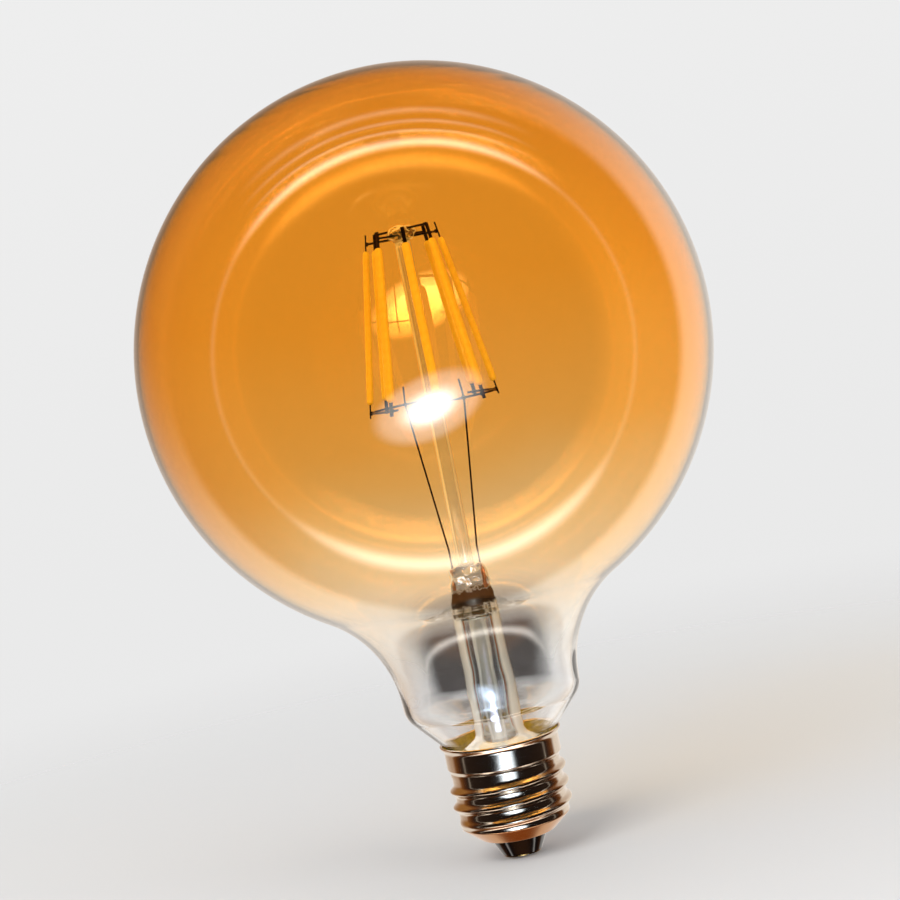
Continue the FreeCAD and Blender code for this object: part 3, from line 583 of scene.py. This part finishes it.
def envelope_path(glass, inset):
    """Half section of the envelope from its crown to the seal, a wall's inset from the outside."""
    radius = glass.globe_radius / MM
    centre = ENVELOPE_BOX[1].z / MM - radius
    sweep, waist = glass.sweep_radius / MM, glass.waist_radius / MM
    reach, sweep_across = radius + sweep, waist + sweep
    waist_height = centre - math.sqrt(reach ** 2 - sweep_across ** 2)
    leaves = math.degrees(math.acos(sweep_across / reach))
    shoulder, slope, fillet, neck = 5.0, 41.5, 3.0, 11.9
    fall = fillet + shoulder - (neck + fillet - waist + shoulder) * math.cos(math.radians(slope))
    fillet_height = waist_height - fall / math.sin(math.radians(slope))
    path = arc(0, centre, radius - inset, 90, -leaves, 110)
    path[0] = (0.0, path[0][1])
    path += arc(sweep_across, waist_height, sweep + inset, 180 - leaves, 180, 24)[1:]
    path += arc(waist - shoulder, waist_height, shoulder - inset, 0, -slope, 8)[1:]
    path += arc(neck + fillet, fillet_height, fillet + inset, 180 - slope, 180, 6)
    path.append((neck - inset, ENVELOPE_BOX[0].z / MM))
    return path


class GLOBELAMP_OT_envelope(bpy.types.Operator):
    """Blow the amber globe and draw it down to the clear neck"""
    bl_idname = "globelamp.envelope"
    bl_label = "Envelope"

    def execute(self, context):
        glass = context.scene.globe_lamp.glass
        outside = envelope_path(glass, 0.0)
        inside = envelope_path(glass, glass.wall / MM)
        worked = glass.waviness / MM

        def uneven_wall(bearing, across, up, index):
            """Waves of 7 mm where the neck was worked, and faint 1.3 mm rings round the crown."""
            inner = index >= len(outside)
            neck_share = worked * (1.7 if inner else 0.1)
            crown_share = 0.07 if inner else 0.02
            neck = smooth(52, 40, up) * smooth(24.5, 27, up)
            x, y, z = at_bearing(bearing, across, up)
            stray = ripple((x, y, z), 7.0, 3.0 if inner else 0.0) * neck * neck_share
            crown = smooth(148, 166, up) * smooth(1.5, 14, across)
            stretched = (x * 0.05, y * 0.05, across + 0.15 * up)
            stray += ripple(stretched, 1.3, 7.0) * crown * crown_share
            return at_bearing(bearing, across + stray if across else 0.0, up)

        turned = lathe(outside + inside[::-1], 192, uneven_wall)
        finish_piece(turned, "blown_envelope", "amber_glass", lamp_material("amber_glass"),
                     "glass_envelope")
        return {"FINISHED"}


class GLOBELAMP_OT_stem(bpy.types.Operator):
    """Form the flared stem tube and squeeze its top into the press"""
    bl_idname = "globelamp.stem"
    bl_label = "Stem"

    def execute(self, context):
        low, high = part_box("stem_flare")
        seal, crown, rim = low.z / MM, high.z / MM, high.x / MM
        half_width, half_depth, squareness = 4.3, 2.15, 3.4
        tube_radius, step_size = 5.1, 0.5
        outside = rounded([
            (0, crown, 0), (4.3, crown, 1.1), (4.9, crown - 4, 2.0), (tube_radius, crown - 9, 3.0),
            (5.4, 27.5, 2.4), (10.9, 24.0, 0), (rim, 24.0, 0.3), (rim, seal, 0.3), (10.9, seal, 0),
        ])
        inside = rounded([(10.9, seal, 0), (4.4, 26.6, 2.4), (4.1, 55.4, 0.8), (0, 56.2, 0)])
        path = outside + inside[1:]

        dense = []
        for here, after in zip(path, path[1:]):
            steps = max(1, int(math.dist(here, after) / step_size))
            dense += [tuple(Vector(here).lerp(Vector(after), n / steps)) for n in range(steps)]
        dense.append(path[-1])
        seam = min(range(len(dense)), key=lambda index: math.dist(dense[index], (10.9, seal)))

        def squeezed(bearing, across, up, index):
            """The top of the outside goes from round to a lumpy oblong."""
            pressed = smooth(55.8, 60.0, up) if index < seam else 0.0
            flat = (abs(math.cos(bearing)) / half_width) ** squareness
            flat += (abs(math.sin(bearing)) / half_depth) ** squareness
            share = across / tube_radius
            oblong = flat ** (-1 / squareness) * min(share * 1.05, 1.0)
            radius = across * (1 - pressed) + oblong * pressed
            spot = at_bearing(bearing, radius, up)
            radius += ripple(spot, 1.6, 5.0) * 0.5 * smooth(55, 60, up) * min(share, 1.0)
            rise = ripple(spot, 1.3, 9.0) * smooth(61, crown, up) * share
            return at_bearing(bearing, radius, up + rise)

        turned = lathe(dense, 72, squeezed)
        finish_piece(turned, "pressed_stem", "clear_glass", lamp_material("stem_glass"),
                     "stem_flare")
        return {"FINISHED"}


class GLOBELAMP_OT_tubes(bpy.types.Operator):
    """Draw the exhaust tube and the support rod"""
    bl_idname = "globelamp.tubes"
    bl_label = "Exhaust tube and rod"

    def execute(self, context):
        low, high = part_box("exhaust_tube")
        foot, top, radius = low.z / MM, high.z / MM, high.x / MM
        bore = 1.1
        path = [(bore, top), (radius, top), (radius, foot + 3)]
        path += [(radius * 0.86, foot + 1.5), (radius * 0.5, foot + 0.4), (0, foot)]
        path += [(0, foot + 0.9), (bore * 0.6, foot + 1.3), (bore, foot + 2.6)]
        tube = lathe(path, 40, ring=True)
        finish_piece(tube, "pumping_tube", "clear_glass", lamp_material("pumping_glass"),
                     "exhaust_tube")

        low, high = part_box("support_rod")
        foot, top, radius = low.z / MM, high.z / MM, high.x / MM
        steps = 60
        side = [(radius, foot + (top - foot) * step / steps) for step in range(steps + 1)]
        path = [(0, foot), *side, (0, top)]

        def drawn(bearing, across, up, index):
            return at_bearing(bearing, across * (1 + 0.05 * ripple((0, 0, up), 9.0, 2.0)), up)

        rod = lathe(path, 40, drawn)
        finish_piece(rod, "drawn_rod", "clear_glass", lamp_material("clear_glass"), "support_rod")
        return {"FINISHED"}


class GLOBELAMP_OT_bead(bpy.types.Operator):
    """Melt the lumpy bead that holds the cross wires"""
    bl_idname = "globelamp.bead"
    bl_label = "Bead"

    def execute(self, context):
        low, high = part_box("rod_bead")
        middle, half, radius = (low.z + high.z) / 2 / MM, (high.z - low.z) / 2 / MM, high.x / MM
        path = [(across * radius, middle + up * half) for across, up in arc(0, 0, 1, -90, 90, 28)]
        path[0], path[-1] = (0.0, middle - half), (0.0, middle + half)

        def lumpy(bearing, across, up, index):
            spot = Vector(at_bearing(bearing, across, up - middle))
            spot *= 1 + 0.22 * ripple(spot, 1.4, 4.0)
            return spot.x, spot.y, spot.z + middle

        bead = lathe(path, 48, lumpy)
        finish_piece(bead, "melted_bead", "clear_glass", lamp_material("bead_glass"), "rod_bead")
        return {"FINISHED"}


# ---- Filament cage ----

def strip_line(number):
    """Foot and top of the middle line of a filament's strip."""
    corners = [corner.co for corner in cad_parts[f"filament_strip_{number}"].data.vertices]
    middle = sum((corner.z for corner in corners)) / len(corners)
    ends = []
    for part in ([c for c in corners if c.z < middle], [c for c in corners if c.z >= middle]):
        ends.append(sum(part, Vector()) / len(part))
    return ends


def flattened(share):
    """Pushes a circle's sine or cosine out towards a rounded square."""
    return math.copysign(abs(share) ** 0.8, share)


class GLOBELAMP_OT_filaments(bpy.types.Operator):
    """Mould the phosphor coats of the eight filaments"""
    bl_idname = "globelamp.filaments"
    bl_label = "Filament coats"

    def execute(self, context):
        filament = context.scene.globe_lamp.filament
        for number in range(1, FILAMENTS + 1):
            foot, top = strip_line(number)
            along = (top - foot).normalized()
            outward = Vector((foot.x, foot.y, 0)).normalized()
            outward = (outward - along * outward.dot(along)).normalized()
            sideways = along.cross(outward)
            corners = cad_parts[f"filament_coat_{number}"].data.vertices
            reach = [(corner.co - foot).dot(along) for corner in corners]
            start, end = min(reach), max(reach)
            coat = bmesh.new()
            rings, sides, steps, length = [], 28, 64, end - start
            for step in range(steps + 1):
                # Rings crowd together at the rounded ends.
                share = 0.5 - 0.5 * math.cos(math.pi * step / steps)
                near_end = min(share, 1 - share) * length
                taper = math.sqrt(max(1 - (1 - min(near_end / (0.9 * MM), 1.0)) ** 2, 0.0))
                middle = foot + along * (start + share * length)
                if taper < 0.02:
                    rings.append([coat.verts.new(middle)])
                    continue
                ring = []
                for side in range(sides):
                    angle = 2 * math.pi * side / sides
                    swell = 1 + 0.03 * ripple(middle / MM, 4.0, number)
                    wide = flattened(math.sin(angle)) * filament.width / 2
                    thick = flattened(math.cos(angle)) * filament.thickness / 2
                    spot = middle + (outward * thick + sideways * wide) * taper * swell
                    ring.append(coat.verts.new(spot))
                rings.append(ring)
            for low, high in zip(rings, rings[1:]):
                close_between(coat, low, high)
            face_outwards(coat)
            finish_piece(coat, f"phosphor_coat_{number}", "phosphor_silicone",
                         lamp_material("phosphor_silicone"), f"filament_coat_{number}")
        return {"FINISHED"}


class GLOBELAMP_OT_welds(bpy.types.Operator):
    """Put the small weld beads where pins and wires meet"""
    bl_idname = "globelamp.welds"
    bl_label = "Welds"

    def execute(self, context):
        spots = []
        ring_low, ring_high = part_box("lower_ring_wire_right")
        ring_height = (ring_low.z + ring_high.z) / 2
        for number in range(1, FILAMENTS + 1):
            foot, top = strip_line(number)
            along = (top - foot).normalized()
            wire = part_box(f"cross_wire_{(number - 1) % 4 + 1}")
            wire_height = (wire[0].z + wire[1].z) / 2
            for height, size in ((wire_height, 0.42), (ring_height, 0.46)):
                joint = foot + along * ((height - foot.z) / along.z)
                inward = Vector((joint.x, joint.y, 0)).normalized() * 0.3 * MM
                spots.append((joint - inward, size))
        for side in ("left", "right"):
            corners = [c.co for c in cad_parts[f"lead_wire_{side}"].data.vertices]
            near = [c for c in corners if abs(c.z - ring_height) < 1.2 * MM]
            spots.append((sum(near, Vector()) / len(near), 0.5))
        welds = bmesh.new()
        for index, (spot, size) in enumerate(spots):
            blob = bmesh.ops.create_icosphere(welds, subdivisions=3, radius=size * MM)
            for corner in blob["verts"]:
                lump = 1 + 0.35 * ripple(corner.co / MM, 0.35, index * 3.1)
                corner.co = corner.co * lump + spot
        finish_piece(welds, "cage_welds", "support_wire", lamp_material("support_wire"))
        return {"FINISHED"}


# ---- Screw cap ----

class GLOBELAMP_OT_cap_shell(bpy.types.Operator):
    """Roll the nickel-plated cap shell with its thread"""
    bl_idname = "globelamp.cap_shell"
    bl_label = "Cap shell"

    def execute(self, context):
        cap = context.scene.globe_lamp.cap
        depth, pitch, turns = cap.thread_depth / MM, cap.thread_pitch / MM, cap.thread_turns
        low, high = CAP_BOX
        foot, top, lip = low.z / MM, high.z / MM, high.x / MM
        root, wall, start = 12.05, 0.3, 9.35
        cone_top = foot + (root - 8.2) * math.tan(math.radians(40))
        outside = rounded([
            (lip - 0.25, top, 0), (lip, top - 0.15, 0.12), (lip - 0.1, top - 0.5, 0.3),
            (12.7, 25.6, 1.0), (12.7, 21.7, 0.35), (root, 20.8, 0.45), (root, cone_top, 0.6),
            (8.2, foot, 0.5), (6.4, foot, 0),
        ])
        inside = rounded([
            (6.4, foot + wall, 0), (8.1, foot + wall, 0.4), (root - wall, cone_top + 0.15, 0.4),
            (root - wall, 20.8, 0.3), (12.4, 21.7, 0.3), (12.4, 25.6, 0.8), (lip - 0.4, top, 0),
        ])
        path = outside + inside
        dense, outer_count, outer_step, inner_step = [], 0, 0.14, 0.4
        for index, (here, after) in enumerate(zip(path, path[1:])):
            step_size = outer_step if index < len(outside) else inner_step
            steps = max(1, int(math.dist(here, after) / step_size))
            dense += [tuple(Vector(here).lerp(Vector(after), n / steps)) for n in range(steps)]
            if index == len(outside) - 2:
                outer_count = len(dense)
        dense.append(path[-1])

        def threaded(bearing, across, up, index):
            round_axis = (bearing - math.pi) / (2 * math.pi)
            phase = (up - start) / pitch - round_axis
            crest = round(phase)
            turn = crest + round_axis
            fade = smooth(-0.12, 0.3, turn) * smooth(turns + 0.12, turns - 0.3, turn)
            bump = (0.5 + 0.5 * math.cos(2 * math.pi * (phase - crest))) ** 2.0 * fade
            on_wall = smooth(cone_top - 0.9, cone_top + 0.5, up) * smooth(21.4, 20.7, up)
            share = 1.0 if index < outer_count else 0.92
            return at_bearing(bearing, across + depth * bump * on_wall * share, up)

        shell = lathe(dense, 240, threaded, ring=True)
        finish_piece(shell, "rolled_cap_shell", "nickel_plate", lamp_material("nickel_plate"),
                     "cap_shell")
        return {"FINISHED"}


class GLOBELAMP_OT_cement(bpy.types.Operator):
    """Fill the lip with baked cement"""
    bl_idname = "globelamp.cement"
    bl_label = "Cement"

    def execute(self, context):
        low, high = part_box("cement_ring")
        foot, top, rim = low.z / MM, high.z / MM, high.x / MM
        path = rounded([
            (11.95, foot, 0), (12.35, foot, 0.1), (12.35, 25.6, 0.5), (rim, top, 0.25),
            (12.75, top + 0.1, 0.2), (11.95, 25.5, 0.2),
        ], 4)

        def crumbly(bearing, across, up, index):
            spot = at_bearing(bearing, across, up)
            lift = 0.22 * ripple(spot, 1.4, 6.0) + 0.1 * ripple(spot, 0.5, 8.0)
            return at_bearing(bearing, across, up + lift * smooth(25.4, 26.4, up))

        ring = lathe(path, 220, crumbly, ring=True)
        finish_piece(ring, "baked_cement", "cap_cement", lamp_material("cap_cement"), "cement_ring")
        return {"FINISHED"}


class GLOBELAMP_OT_finishes(bpy.types.Operator):
    """Give every designed piece that shows its own finish"""
    bl_idname = "globelamp.finishes"
    bl_label = "Finishes"

    def execute(self, context):
        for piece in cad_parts.values():
            for holder in piece.material_slots:
                slot = holder.material.name.split(".")[0]
                holder.material = lamp_material(slot)
        return {"FINISHED"}


# ---- Stage ----

# Each soft box of the room: its name, place, side in metres and power in watts.
SOFT_BOXES = (
    ("key_softbox", (-0.45, -0.60, 0.62), 0.6, 7.0),
    ("fill_softbox", (0.65, -0.55, 0.25), 0.6, 4.0),
)
FLOOR_RADIUS = 0.9
LIGHT_BOUNCES = 24


def build_world(stage):
    """A plain pale room, with a studio in its place for rays that a mirror turned.

    The studio is dark in front and has a pale far side, one broad soft box low in front, and
    bright seams round its middle. A way's parts run from -1 to 1, and deep is 1 at the far side.
    """
    world = bpy.data.worlds.new("pale_room")
    bpy.context.scene.world = world
    world.use_nodes = True
    world.cycles.sampling_method = "NONE"
    tree = world.node_tree
    tree.nodes.clear()
    node = partial(add_node, tree)
    way = node("TexCoord").outputs["Generated"]
    across, deep, up = node("SeparateXYZ", {0: way}).outputs
    path = node("LightPath").outputs

    # A ray that has crossed more than two faces of glass counts as inside the lamp.
    inside = node("MapRange", {0: path["Transmission Depth"], 1: 2.4, 2: 2.6}, **SOFT)
    # The near wall is dark, then copper. The far one is white low on the right, amber high left.
    tilt = node("VectorMath", {0: way, 1: (0.55, 0, -0.83)}, operation="DOT_PRODUCT")
    pale_side = node("MapRange", {0: tilt, 1: -0.60, 2: 0.30}, **SOFT)
    far = {0: pale_side, 6: from_hex("#A2733F"), 7: from_hex("#F9F3EC")}
    far = node("Mix", far, data_type="RGBA")
    depth = node("MapRange", {0: deep, 1: -1.0, 2: 1.0})
    near = node("ValToRGB", {0: depth}, [
        (0.00, from_hex("#1D1918")),
        (0.55, from_hex("#30241D")),
        (0.64, from_hex("#59351E")),
        (0.73, from_hex("#865730")),
    ])
    far_share = node("MapRange", {0: deep, 1: 0.42, 2: 0.56}, **SOFT)
    wall = node("Mix", {0: far_share, 6: near, 7: far}, data_type="RGBA")
    copper_ground = node("MapRange", {0: up, 1: -0.80, 2: -0.94}, **SOFT)
    outer_room = {0: copper_ground, 6: wall, 7: from_hex("#9B6335")}
    outer_room = node("Mix", outer_room, data_type="RGBA")
    # Glass inside the lamp also mirrors the bright sides of the room.
    beyond = {0: pale_side, 6: from_hex("#FFFDF9", 1.9), 7: from_hex("#DAB381")}
    beyond = node("Mix", beyond, data_type="RGBA")
    beyond_share = node("MapRange", {0: deep, 1: -0.26, 2: 0.12}, **SOFT)
    inner_room = {0: beyond_share, 6: from_hex("#383027"), 7: beyond}
    inner_room = node("Mix", inner_room, data_type="RGBA")
    room_colour = node("Mix", {0: inside, 6: outer_room, 7: inner_room}, data_type="RGBA")
    room = node("Background", {0: room_colour, 1: 1.0})

    # The soft box is a slanted oval: a broad veil with a hot core, four times as strong inside.
    side = node("Math", {0: across, 1: 0.03}, operation="ADD")
    side = node("Math", {0: side, 1: 0.40}, operation="DIVIDE")
    rise = node("VectorMath", {0: way, 1: (0, -0.342, 0.940)}, operation="DOT_PRODUCT")
    rise = node("Math", {0: rise, 1: 0.235}, operation="DIVIDE")
    slant = node("Math", {0: side, 1: -0.34, 2: rise}, operation="MULTIPLY_ADD")
    oval = node("CombineXYZ", {0: side, 1: slant, 2: 0.0})
    spread = node("VectorMath", {0: oval}, operation="LENGTH")
    veil = node("MapRange", {0: spread, 1: 1.02, 2: 0.72}, **SOFT)
    core = node("MapRange", {0: spread, 1: 0.95, 2: 0.0}, **SOFT)
    core = node("Math", {0: core, 1: 2.8}, operation="POWER")
    core = node("Math", {0: core, 1: 24.0}, operation="MULTIPLY")
    box = node("Math", {0: veil, 1: 2.2, 2: core}, operation="MULTIPLY_ADD")
    in_front = node("MapRange", {0: deep, 1: 0.0, 2: -0.3}, **SOFT)
    box = node("Math", {0: box, 1: in_front}, operation="MULTIPLY")
    boost = node("Math", {0: inside, 1: 3.0, 2: 1.0}, operation="MULTIPLY_ADD")
    box = node("Math", {0: box, 1: boost}, operation="MULTIPLY")
    cool = {0: inside, 6: from_hex("#CEE5FF", 1.10), 7: from_hex("#C9D6FF", 1.45)}
    cool = node("Mix", cool, data_type="RGBA")
    soft_box = node("Background", {0: cool, 1: box})

    def strand(at, width):
        """A soft bright line round the room at a depth."""
        offset = node("Math", {0: deep, 1: at}, operation="SUBTRACT")
        offset = node("Math", {0: offset, 1: width}, operation="DIVIDE")
        fall = node("Math", {0: offset, 1: offset}, operation="MULTIPLY")
        fall = node("Math", {0: fall, 1: -1.0}, operation="MULTIPLY")
        return node("Math", {0: 2.718, 1: fall}, operation="POWER")

    # The seam of the walls is strongest overhead and underfoot, and wider underfoot.
    steep = node("Math", {0: up}, operation="ABSOLUTE")
    steep = node("MapRange", {0: steep, 1: 0.60, 2: 0.97}, **SOFT)
    below = node("MapRange", {0: up, 1: -0.50, 2: -0.95}, **SOFT)
    width = node("Math", {0: steep, 1: 0.012, 2: 0.022}, operation="MULTIPLY_ADD")
    width = node("Math", {0: below, 1: 0.035, 2: width}, operation="MULTIPLY_ADD")
    glow = node("Math", {0: steep, 1: 4.0, 2: 0.45}, operation="MULTIPLY_ADD")
    seam = node("Math", {0: strand(-0.02, width), 1: glow}, operation="MULTIPLY")
    overhead = node("MapRange", {0: up, 1: 0.72, 2: 0.97}, **SOFT)
    for at, thin_width, strength in ((0.09, 0.014, 1.5), (0.19, 0.018, 1.1), (0.31, 0.03, 0.8)):
        thin = node("Math", {0: strand(at, thin_width), 1: strength}, operation="MULTIPLY")
        seam = node("Math", {0: thin, 1: overhead, 2: seam}, operation="MULTIPLY_ADD")
    seams = node("Background", {0: from_hex("#FFF9F1"), 1: seam})
    lights = node("AddShader", {0: soft_box, 1: seams})
    studio = node("AddShader", {0: lights, 1: room})

    # The plain room, which is a little brighter through glass.
    rising = node("MapRange", {0: up, 1: -0.3, 2: 0.3})
    backdrop = (*stage.backdrop, 1.0)
    pale = node("ValToRGB", {0: rising}, [(0.0, from_hex("#E7E7E7")), (1.0, backdrop)])
    through = {0: path["Transmission Depth"], 1: 0.5, 2: 1.5, 3: 1.0, 4: 1.10}
    plain = node("Background", {0: pale, 1: node("MapRange", through)})
    mirrored = node("Math", {0: path["Glossy Depth"], 1: 0.5}, operation="GREATER_THAN")
    both = node("MixShader", {0: mirrored, 1: plain, 2: studio})
    node("OutputWorld", {0: both})


def plain_floor():
    """A pale matt floor that melts into the room and stays out of mirrors."""
    material, tree, shader = new_material("matt_paper_floor", {
        "Roughness": 0.9,
        "Base Color": from_hex("#CBCBCB"),
    })
    node = partial(add_node, tree)
    place = node("TexCoord").outputs["Object"]
    distance = node("VectorMath", {0: place}, operation="LENGTH")
    gone = node("MapRange", {0: distance, 1: 0.05, 2: 0.42}, **SOFT)
    glossy_depth = node("LightPath").outputs["Glossy Depth"]
    mirrored = node("Math", {0: glossy_depth, 1: 0.5}, operation="GREATER_THAN")
    open_share = node("Math", {0: gone, 1: mirrored}, operation="MAXIMUM")
    mix_at_surface(tree, open_share, shader, node("BsdfTransparent"))
    return material


class GLOBELAMP_OT_stage(bpy.types.Operator):
    """Set the floor, the room, the soft light and the camera"""
    bl_idname = "globelamp.stage"
    bl_label = "Stage"

    def execute(self, context):
        stage = context.scene.globe_lamp.stage
        disc = bmesh.new()
        bmesh.ops.create_circle(disc, cap_ends=True, segments=96, radius=FLOOR_RADIUS)
        mesh = bpy.data.meshes.new("paper_floor")
        disc.to_mesh(mesh)
        disc.free()
        mesh.materials.append(plain_floor())
        floor = bpy.data.objects.new("paper_floor", mesh)
        floor.location.z = CAD_BOX[0][2] - 0.02 * MM
        floor.visible_glossy = False
        context.scene.collection.objects.link(floor)
        build_world(stage)

        for name, spot, side, power in SOFT_BOXES:
            soft = bpy.data.lights.new(name, "AREA")
            soft.size, soft.energy = side, power
            holder = bpy.data.objects.new(name, soft)
            holder.location = spot
            aim = Vector((0, 0, 0.1)) - holder.location
            holder.rotation_euler = aim.to_track_quat("-Z", "Y").to_euler()
            holder.visible_glossy = False
            holder.visible_camera = False
            holder.visible_transmission = False
            context.scene.collection.objects.link(holder)

        lens = bpy.data.cameras.new("camera")
        lens.lens, lens.sensor_width, lens.clip_start = stage.focal_length, 36.0, 0.01
        camera = bpy.data.objects.new("camera", lens)
        eye = Vector((stage.aim_across, -stage.camera_distance, stage.camera_height))
        look = (Vector((stage.aim_across, 0, stage.aim_height)) - eye).normalized()
        level = look.cross(Vector((0, 0, 1))).normalized()
        upright = level.cross(look)
        right = level * math.cos(stage.roll) - upright * math.sin(stage.roll)
        top = level * math.sin(stage.roll) + upright * math.cos(stage.roll)
        turn = Matrix((right, top, -look)).transposed().to_4x4()
        camera.matrix_world = Matrix.Translation(eye) @ turn
        context.scene.collection.objects.link(camera)
        context.scene.camera = camera
        context.scene.view_settings.view_transform = "Standard"
        # A ray crosses many faces of glass on its way through the neck.
        context.scene.cycles.transparent_max_bounces = LIGHT_BOUNCES
        context.scene.cycles.transmission_bounces = LIGHT_BOUNCES
        context.scene.cycles.max_bounces = LIGHT_BOUNCES
        return {"FINISHED"}


class GLOBELAMP_PT_panel(bpy.types.Panel):
    """Sizes and colours of the lamp, and a button for each of its pieces"""
    bl_idname = "GLOBELAMP_PT_panel"
    bl_label = "Globe lamp"
    bl_space_type = "VIEW_3D"
    bl_region_type = "UI"
    bl_category = "Globe lamp"

    def draw(self, context):
        settings = context.scene.globe_lamp
        for group in (settings.glass, settings.filament, settings.cap, settings.stage):
            box = self.layout.box()
            for name in group.__annotations__:
                box.prop(group, name)
        for operator in OPERATORS:
            self.layout.operator(operator.bl_idname)


OPERATORS = (
    GLOBELAMP_OT_finishes,
    GLOBELAMP_OT_envelope,
    GLOBELAMP_OT_stem,
    GLOBELAMP_OT_tubes,
    GLOBELAMP_OT_bead,
    GLOBELAMP_OT_filaments,
    GLOBELAMP_OT_welds,
    GLOBELAMP_OT_cap_shell,
    GLOBELAMP_OT_cement,
    GLOBELAMP_OT_stage,
)
CLASSES = (
    GlobeLampGlass,
    GlobeLampFilament,
    GlobeLampCap,
    GlobeLampStage,
    GlobeLampSettings,
    *OPERATORS,
    GLOBELAMP_PT_panel,
)


def register():
    for kind in CLASSES:
        bpy.utils.register_class(kind)
    bpy.types.Scene.globe_lamp = bpy.props.PointerProperty(type=GlobeLampSettings)


def unregister():
    del bpy.types.Scene.globe_lamp
    for kind in reversed(CLASSES):
        bpy.utils.unregister_class(kind)


def main():
    register()
    for operator in OPERATORS:
        group, name = operator.bl_idname.split(".")
        getattr(getattr(bpy.ops, group), name)()


if __name__ == "__main__":
    main()
